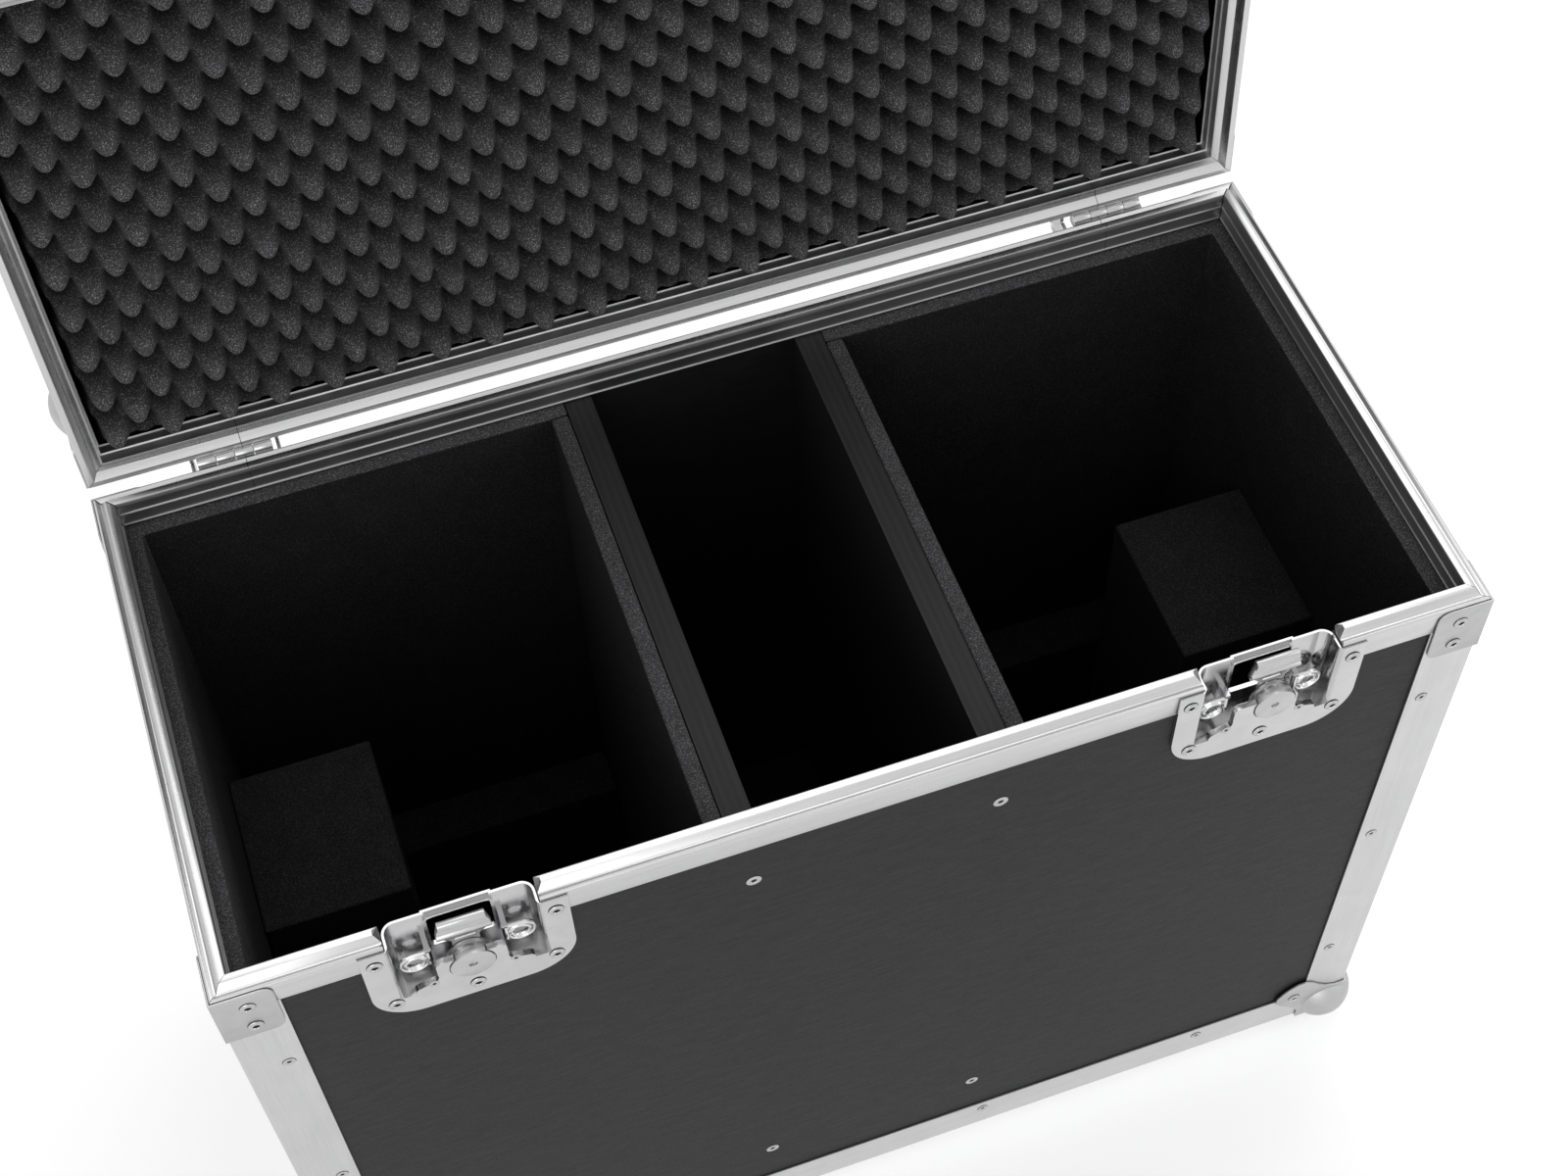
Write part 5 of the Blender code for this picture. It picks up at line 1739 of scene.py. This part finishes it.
        window = oblong((self.shift - reach, self.hub[1] - reach),
                        (self.shift + reach, self.hub[1] + self.stroke + reach),
                        reach * self.window_round, 5)
        combine(claw, "DIFFERENCE", extruded("window", window, "y", front - OVER, deep + OVER))
        slot = oblong((self.shift - self.slot_half, bar - self.slot_low),
                      (self.shift + self.slot_half, bar - self.slot_high), self.slot_round, 4)
        combine(claw, "DIFFERENCE", extruded("slot", slot, "y", front - OVER, deep + OVER))
        soften(claw, self.claw_edge)
        return claw

    def wing(self, way: int) -> bpy.types.Object:
        """Model a wing: wire that leaves its knuckle and winds into a flat ring of two turns.

        Args:
            way: Which side of its pivot the ring lies on, 1 or -1.

        Returns:
            The wing.
        """
        y = -self.face + self.setback
        pivot = way * self.pivot
        centre, middle = pivot + way * self.ring, self.ring_lift - self.wing_drop
        points = [(pivot, y, middle + self.ring)]
        for step in range(self.ring_steps + 1):
            share = step / self.ring_steps
            turn = math.pi / 2 - share * math.tau * self.ring_turns
            narrowed = max(0.0, min(1.0, (share - self.narrowing_start) / self.narrowing_length))
            radius = self.ring * (1 - self.ring_narrowing * narrowed)
            points.append((centre + way * radius * math.cos(turn), y,
                           middle + radius * math.sin(turn)))
        bpy.ops.object.select_all(action="DESELECT")
        bpy.ops.curve.primitive_nurbs_path_add()
        path = bpy.context.object
        path.data.splines.clear()
        spline = path.data.splines.new("POLY")
        spline.points.add(len(points) - 1)
        for point, place in zip(spline.points, points):
            point.co = (*place, 1.0)
        path.data.bevel_depth = self.wire
        path.data.bevel_resolution = 3
        path.data.use_fill_caps = True
        pick(path)
        bpy.ops.object.convert(target="MESH")
        wire = bpy.context.object
        knuckle = extruded("knuckle", circle(pivot, y, self.knuckle_radius, self.wire_sides), "z",
                           -self.wing_drop - self.knuckle, middle + self.ring + self.wire)
        pick(wire)
        knuckle.select_set(True)
        bpy.ops.object.join()
        return wire


class Head(Enum):
    """Kinds of fastener heads."""

    BLIND = "blind"
    SUNK = "sunk"
    SCREW = "screw"
    DIMPLE = "dimple"


@dataclass(frozen=True)
class HeadShape:
    """Sizes of a fastener's head: steps of (inset, rise) from its rim to its middle, with painted shade
    in its hole and a painted shadow round its foot.
    """

    radius: float
    base: float
    steps: Places
    sides: int = 24
    # The last hole_shade_steps steps are painted shade in the hole; line is the width of a painted
    # shadow ring round the foot.
    hole_shade_steps: int = 1
    line: float = 0.0002

    def model(self, name: str, metal: bpy.types.Material, hole: bpy.types.Material) -> bpy.types.Object:
        """Model the head upright on the origin.

        Args:
            name: Name of the pattern.
            metal: Finish of the head.
            hole: Black finish, painted shade: the floor and walls of its hole, the ring round its foot
                and the low base under it.

        Returns:
            The head.
        """
        bpy.ops.object.select_all(action="DESELECT")
        low = self.base / 6
        # The low base and a thin ring round the head keep the black finish, a painted contact shadow.
        bpy.ops.mesh.primitive_cylinder_add(vertices=self.sides, radius=self.radius + self.line,
                                            depth=low, location=(0, 0, low / 2))
        head = bpy.context.object
        head.name = name
        bpy.ops.object.transform_apply(location=True, rotation=False, scale=False)
        head.data.materials.append(hole)
        head.data.materials.append(metal)
        edit(head)
        select_faces(head, lambda face: face.normal.z > UPWARD)
        bpy.ops.mesh.inset(thickness=self.line, depth=0.0)
        head.active_material_index = 1
        bpy.ops.object.material_slot_assign()
        bpy.ops.mesh.extrude_region_move(TRANSFORM_OT_translate={"value": (0, 0, self.base - low)})
        for index, (inset, rise) in enumerate(self.steps):
            bpy.ops.mesh.inset(thickness=inset, depth=rise)
            # The hole's last steps get the black finish, painted shade.
            if index >= len(self.steps) - self.hole_shade_steps:
                head.active_material_index = 0
                bpy.ops.object.material_slot_assign()
        leave()
        return head


HEADS = {
    Head.BLIND: HeadShape(0.0039, 0.00040, ((0.0005, 0.0005), (0.0008, 0.0003), (0.0006, 0.0),
                                            (0.0003, -0.0005), (0.0003, -0.0005)), hole_shade_steps=2),
    Head.SUNK: HeadShape(0.0034, 0.00025, ((0.0003, 0.0002), (0.0006, -0.00015), (0.0009, 0.00012),
                                           (0.0004, -0.0003), (0.0002, -0.0001)), hole_shade_steps=2),
    Head.SCREW: HeadShape(0.0041, 0.0002, ((0.0003, 0.00015), (0.0020, 0.0), (0.0002, -0.0002),
                                           (0.0001, -0.0001)), sides=18, hole_shade_steps=2),
    Head.DIMPLE: HeadShape(0.0027, 0.00008, ((0.0003, 0.00004), (0.0011, -0.00006),
                                             (0.0003, -0.00001)), hole_shade_steps=1, line=0.00003),
}


@dataclass
class Fasteners:
    """Rivets and screws, which hold the pieces together."""

    edge_inset: float = 0.0217
    edge_drops: tuple[float, ...] = (0.0837, 0.2347, 0.3848)
    edge_row: tuple[float, ...] = (-0.225, -0.075, 0.075, 0.225)
    end_row: tuple[float, ...] = (-0.075, 0.075)
    screw_row: tuple[float, ...] = (-0.066, 0.066)
    screw_drops: tuple[float, ...] = (0.0532, 0.4082)
    screw_twist: float = 0.4
    brace_pairs: Places = ((0.0165, 0.0120), (0.0165, 0.0315))
    lid_brace_rise: float = 0.0135
    lid_brace_sheet: float = 0.0013
    petal_spot: tuple[float, float] = (0.037, 0.032)
    petal_sheet: float = 0.0014
    latch_places: Places = ((-0.0445, -0.0135), (0.0445, -0.0135), (-0.0405, -0.0570),
                            (0.0405, -0.0570), (0, -0.0606))
    dimple_places: Places = ((-0.0205, -0.0488), (0.0205, -0.0488))
    hinge_places: Places = ((-0.015, 0.014), (0.015, 0.014), (0.0, 0.026))
    hinge_sheet: float = 0.0015
    keeper_places: Places = ((-0.014, 0.020), (0.014, 0.020))
    keeper_sheet: float = 0.0015
    handle_margin: float = 0.0075

    def build(self, paints: Paintbox) -> None:
        """Place every rivet and screw.

        Args:
            paints: The finishes.
        """
        # The black finish is painted shade in the holes and round the heads.
        metal, hole = paints.made["rivet_steel"], paints.made["painted_shade_black"]
        self.models = {kind: shape.model("head_" + kind.value, metal, hole)
                       for kind, shape in HEADS.items()}
        self.put("edge_rivets", Head.SUNK, self.edges(), "base")
        self.put("panel_screws", Head.SCREW, self.screws(), "base")
        self.put("brace_rivets", Head.BLIND, self.braces(), "base")
        self.put("corner_rivets", Head.BLIND, self.petals(False), "base")
        for side in SIDES:
            dish = "latch_dish_" + side
            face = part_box(dish)[0][1]
            self.put("latch_rivets_" + side, Head.BLIND,
                     self.upright(dish, face, -1, self.latch_places), "base")
            self.put("latch_dimples_" + side, Head.DIMPLE,
                     self.upright(dish, face, -1, self.dimple_places), "base")
            self.put("handle_rivets_" + side, Head.BLIND, self.handle(side), "base")
            self.put("hinge_rivets_" + side, Head.BLIND, self.hinge(side, -1), "base")
            self.put("lid_hinge_rivets_" + side, Head.BLIND, self.hinge(side, 1), "lid")
        self.put("lid_edge_rivets", Head.SUNK, self.lid_edges(), "lid")
        self.put("lid_corner_rivets", Head.BLIND, self.lid_corners(), "lid")
        self.put("keeper_rivets", Head.BLIND, self.keepers(), "lid")
        for model in self.models.values():
            discard(model)

    def put(self, name: str, kind: Head, spots: Sequence[Spot], body: str) -> None:
        """Stand heads on spots as one piece that rides on a body.

        Args:
            name: Name of the piece.
            kind: Kind of head.
            spots: Where the heads stand; closed-pose places for the lid.
            body: Body that carries them.
        """
        if body == "lid":
            turn = CASE.lid_matrix()
            spots = [Spot(turn @ spot.at, turn.to_3x3() @ spot.facing, spot.twist) for spot in spots]
        piece = copies(self.models[kind], spots, name)
        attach(piece, body)
        log.info("%s: %d heads", name, len(spots))

    def case_faces(self) -> Iterable[tuple[Vector, Vector, float, tuple[float, ...]]]:
        """Go over the case's upright faces.

        Yields:
            A face's middle, its normal, its half width and its row of rivets.
        """
        yield Vector((0, CASE.front, 0)), Vector((0, -1, 0)), CASE.half_x, self.edge_row
        yield Vector((0, CASE.back, 0)), Vector((0, 1, 0)), CASE.half_x, self.edge_row
        yield Vector((-CASE.half_x, CASE.middle, 0)), Vector((-1, 0, 0)), CASE.half_y, self.end_row
        yield Vector((CASE.half_x, CASE.middle, 0)), Vector((1, 0, 0)), CASE.half_y, self.end_row

    def edges(self) -> list[Spot]:
        """Place the rivets on the edge extrusions of the base.

        Returns:
            Their spots.
        """
        spots = []
        for middle, normal, half, row in self.case_faces():
            across = Vector((-normal.y, normal.x, 0))
            for drop in self.edge_drops:
                for side in (-1, 1):
                    at = middle + across * (side * (half - self.edge_inset))
                    spots.append(Spot(Vector((at.x, at.y, CASE.rim - drop)), normal))
            for step in row:
                at = middle + across * step
                spots.append(Spot(Vector((at.x, at.y, CASE.bottom + self.edge_inset)), normal))
        return spots

    def screws(self) -> list[Spot]:
        """Place the screws through the front and back panels into the dividers.

        Returns:
            Their spots.
        """
        spots = []
        for node, corner, normal in (("front_panel", 0, Vector((0, -1, 0))),
                                     ("back_panel", 1, Vector((0, 1, 0)))):
            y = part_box(node)[corner][1]
            for x in self.screw_row:
                for drop in self.screw_drops:
                    at = Vector((x, y, CASE.rim - drop))
                    spots.append(Spot(at, normal, self.screw_twist + x))
        return spots

    def braces(self) -> list[Spot]:
        """Place the rivets of the rim braces.

        Returns:
            Their spots.
        """
        spots = []
        for corner in CORNERS:
            low, high = box_of("brace_" + corner)
            for across, drop in self.brace_pairs:
                spots += self.corner_pair(corner, low, high, across, high.z - drop)
        return spots

    def corner_pair(self, corner: str, low: Vector, high: Vector, across: float, z: float) -> list[Spot]:
        """Return a rivet on each outer face of a corner piece, at a distance from the corner.

        Args:
            corner: Name of the corner.
            low: Low corner of the piece's box.
            high: High corner of the piece's box.
            across: Distance inward from the corner.
            z: Height.

        Returns:
            Two spots.
        """
        sx, sy = signs(corner)
        x = low.x if sx < 0 else high.x
        y = low.y if sy < 0 else high.y
        return [Spot(Vector((x - sx * across, y, z)), Vector((0, sy, 0))),
                Spot(Vector((x, y - sy * across, z)), Vector((sx, 0, 0)))]

    def petals(self, lid: bool) -> list[Spot]:
        """Place the rivets on the petals of the ball corners.

        Args:
            lid: Whether they are the lid's.

        Returns:
            Their spots, in the closed pose for the lid.
        """
        spots = []
        far, near = self.petal_spot
        sheet = self.petal_sheet
        sz, z = (1, CASE.top) if lid else (-1, CASE.bottom)
        for corner in CORNERS:
            sx, sy = signs(corner)
            x, y = sx * CASE.half_x, CASE.front if sy < 0 else CASE.back
            spots.append(Spot(Vector((x - sx * far, y + sy * sheet, z - sz * near)), Vector((0, sy, 0))))
            spots.append(Spot(Vector((x + sx * sheet, y - sy * far, z - sz * near)), Vector((sx, 0, 0))))
            spots.append(Spot(Vector((x - sx * far, y - sy * near, z + sz * sheet)), Vector((0, 0, sz))))
        return spots

    def upright(self, node: str, y: float, facing: int, places: Places) -> list[Spot]:
        """Place fasteners on an upright face, about the middle of a node.

        Args:
            node: The node.
            y: Level of the face.
            facing: Way that it faces along y, -1 or 1.
            places: Each one's distances from the node's middle in x and from the rim plane in z.

        Returns:
            Their spots.
        """
        low, high = box_of(node)
        x = (low.x + high.x) / 2
        return [Spot(Vector((x + a, y, CASE.rim + rise)), Vector((0, facing, 0)))
                for a, rise in places]

    def handle(self, side: str) -> list[Spot]:
        """Place the rivets on the flange of a handle dish.

        Args:
            side: The end it is on.

        Returns:
            Their spots.
        """
        low, high = box_of("handle_dish_" + side)
        x, sign = (low.x, -1) if side == "left" else (high.x, 1)
        margin = self.handle_margin
        spots = []
        for y in (low.y + margin, CASE.middle, high.y - margin):
            for z in (low.z + margin, high.z - margin):
                spots.append(Spot(Vector((x, y, z)), Vector((sign, 0, 0))))
        return spots

    def hinge(self, side: str, up: int) -> list[Spot]:
        """Place the rivets of a hinge leaf.

        Args:
            side: The hinge's side.
            up: 1 for the lid's leaf and -1 for the base's.

        Returns:
            Their spots, in the closed pose for the lid.
        """
        places = tuple((a, up * rise) for a, rise in self.hinge_places)
        return self.upright("hinge_leaf_" + side, CASE.back + self.hinge_sheet, 1, places)

    def lid_edges(self) -> list[Spot]:
        """Place the rivets on the lid's edge extrusions.

        Returns:
            Their spots, in the closed pose.
        """
        spots = []
        for middle, normal, half, row in self.case_faces():
            across = Vector((-normal.y, normal.x, 0))
            for step in row:
                at = middle + across * step
                spots.append(Spot(Vector((at.x, at.y, CASE.top - self.edge_inset)), normal))
                inside = at - normal * self.edge_inset
                spots.append(Spot(Vector((inside.x, inside.y, CASE.top)), Vector((0, 0, 1))))
        return spots

    def lid_corners(self) -> list[Spot]:
        """Place the rivets of the lid's ball corners and rim braces.

        Returns:
            Their spots, in the closed pose.
        """
        spots = self.petals(True)
        sheet = self.lid_brace_sheet
        half = CASE.half_x + sheet
        low = Vector((-half, CASE.front - sheet, CASE.rim))
        high = Vector((half, CASE.back + sheet, CASE.rim))
        across, height = self.brace_pairs[0][0], CASE.rim + self.lid_brace_rise
        for corner in CORNERS:
            spots += self.corner_pair(corner, low, high, across, height)
        return spots

    def keepers(self) -> list[Spot]:
        """Place the rivets of the keepers.

        Returns:
            Their spots, in the closed pose.
        """
        spots = []
        for side in SIDES:
            spots += self.upright("keeper_" + side, CASE.front - self.keeper_sheet, -1,
                                  self.keeper_places)
        return spots


@dataclass
class Studio:
    """Pale floor, soft lamps and the camera."""

    camera_at: Point = (-0.21332, -0.74100, 1.51187)
    camera_forward: Point = (0.16794, 0.53985, -0.82484)
    camera_up: Point = (0.28276, 0.77519, 0.56492)
    lens: float = 55.706
    sensor: float = 36.0
    clip_start: float = 0.01
    floor_size: float = 14.0
    floor_colour: Point = (0.82, 0.82, 0.82)
    floor_roughness: float = 0.9
    floor_glow: float = 0.5
    fill_light: float = 0.42
    aim: Point = (0.0, 0.0, 0.3)
    lamps: tuple[tuple[str, Point, float, float], ...] = (
        ("front_lamp", (-1.4, -2.9, 1.9), 2.4, 26.0),
        ("side_lamp", (2.8, -1.2, 1.8), 2.0, 16.0),
        ("top_lamp", (0.6, 1.6, 3.2), 3.0, 36.0))

    def build(self) -> None:
        """Set the whole studio up."""
        self.camera()
        self.world()
        self.floor()
        for lamp in self.lamps:
            self.lamp(*lamp)
        bpy.context.scene.view_settings.view_transform = "Standard"

    def camera(self) -> None:
        """Stand the camera where the photograph was taken from."""
        forward, up = Vector(self.camera_forward), Vector(self.camera_up)
        right = forward.cross(up).normalized()
        up = right.cross(forward).normalized()
        turn = Matrix((right, up, -forward)).transposed().to_4x4()
        bpy.ops.object.select_all(action="DESELECT")
        bpy.ops.object.camera_add()
        camera = bpy.context.object
        camera.name = "photo_camera"
        camera.matrix_world = Matrix.Translation(self.camera_at) @ turn
        camera.data.sensor_width = self.sensor
        camera.data.sensor_fit = "HORIZONTAL"
        camera.data.lens = self.lens
        camera.data.clip_start = self.clip_start
        bpy.context.scene.camera = camera

    def seen(self, nodes: Nodes) -> bpy.types.NodeSocket:
        """Tell what the eye sees, also by way of metal or glass, from light that falls.

        Args:
            nodes: The nodes to add to.

        Returns:
            A socket that is 1 for seen rays and 0 for others.
        """
        path = nodes.add("LightPath")
        first = nodes.math("MAXIMUM", path.outputs["Is Camera Ray"], path.outputs["Is Glossy Ray"])
        return nodes.math("MAXIMUM", first, path.outputs["Is Transmission Ray"])

    def world(self) -> None:
        """Make the surroundings white to the eye and dimmer as a light."""
        world = bpy.data.worlds.new("studio_world")
        bpy.context.scene.world = world
        world.use_nodes = True
        nodes = Nodes(world.node_tree)
        background = world.node_tree.nodes["Background"]
        background.inputs["Color"].default_value = (1.0, 1.0, 1.0, 1.0)
        strength = nodes.spread(self.seen(nodes), 0.0, 1.0, self.fill_light, 1.0)
        nodes.join(strength, background.inputs["Strength"])

    def floor(self) -> None:
        """Lay the floor, which looks white and keeps the shadow of the case."""
        bpy.ops.object.select_all(action="DESELECT")
        bpy.ops.mesh.primitive_plane_add(size=self.floor_size)
        floor = bpy.context.object
        floor.name = "studio_floor"
        material = bpy.data.materials.new("floor_white")
        material.use_nodes = True
        nodes = Nodes(material.node_tree)
        shader = material.node_tree.nodes["Principled BSDF"]
        shader.inputs["Base Color"].default_value = (*self.floor_colour, 1.0)
        shader.inputs["Roughness"].default_value = self.floor_roughness
        shader.inputs["Specular IOR Level"].default_value = 0.0
        shader.inputs["Emission Color"].default_value = (1.0, 1.0, 1.0, 1.0)
        glow = nodes.math("MULTIPLY", self.seen(nodes), self.floor_glow)
        nodes.join(glow, shader.inputs["Emission Strength"])
        floor.data.materials.append(material)

    def lamp(self, name: str, at: Point, size: float, power: float) -> None:
        """Hang a square soft lamp that faces the case.

        Args:
            name: Name of the lamp.
            at: Its place.
            size: Its width.
            power: Its power in watts.
        """
        bpy.ops.object.select_all(action="DESELECT")
        bpy.ops.object.light_add(type="AREA", location=at)
        lamp = bpy.context.object
        lamp.name = name
        lamp.data.shape = "SQUARE"
        lamp.data.size = size
        lamp.data.energy = power
        way = Vector(self.aim) - Vector(at)
        lamp.rotation_euler = way.to_track_quat("-Z", "Y").to_euler()


def main() -> None:
    """Dress the case and set up the studio."""
    logging.basicConfig(level=logging.INFO, format="%(name)s %(message)s")
    Studio().build()
    paints = Paintbox()
    CarriedNodes().dress(paints)
    CutFoam().build(paints)
    ConvolutedFoam().build(paints)
    SheetMetal().build(paints)
    Rims().build(paints)
    BallCorners().build(paints)
    Latch("left").build(paints)
    Latch("right", shift=0.0050, rise=0.0030).build(paints)
    Fasteners().build(paints)


if __name__ == "__main__":
    main()
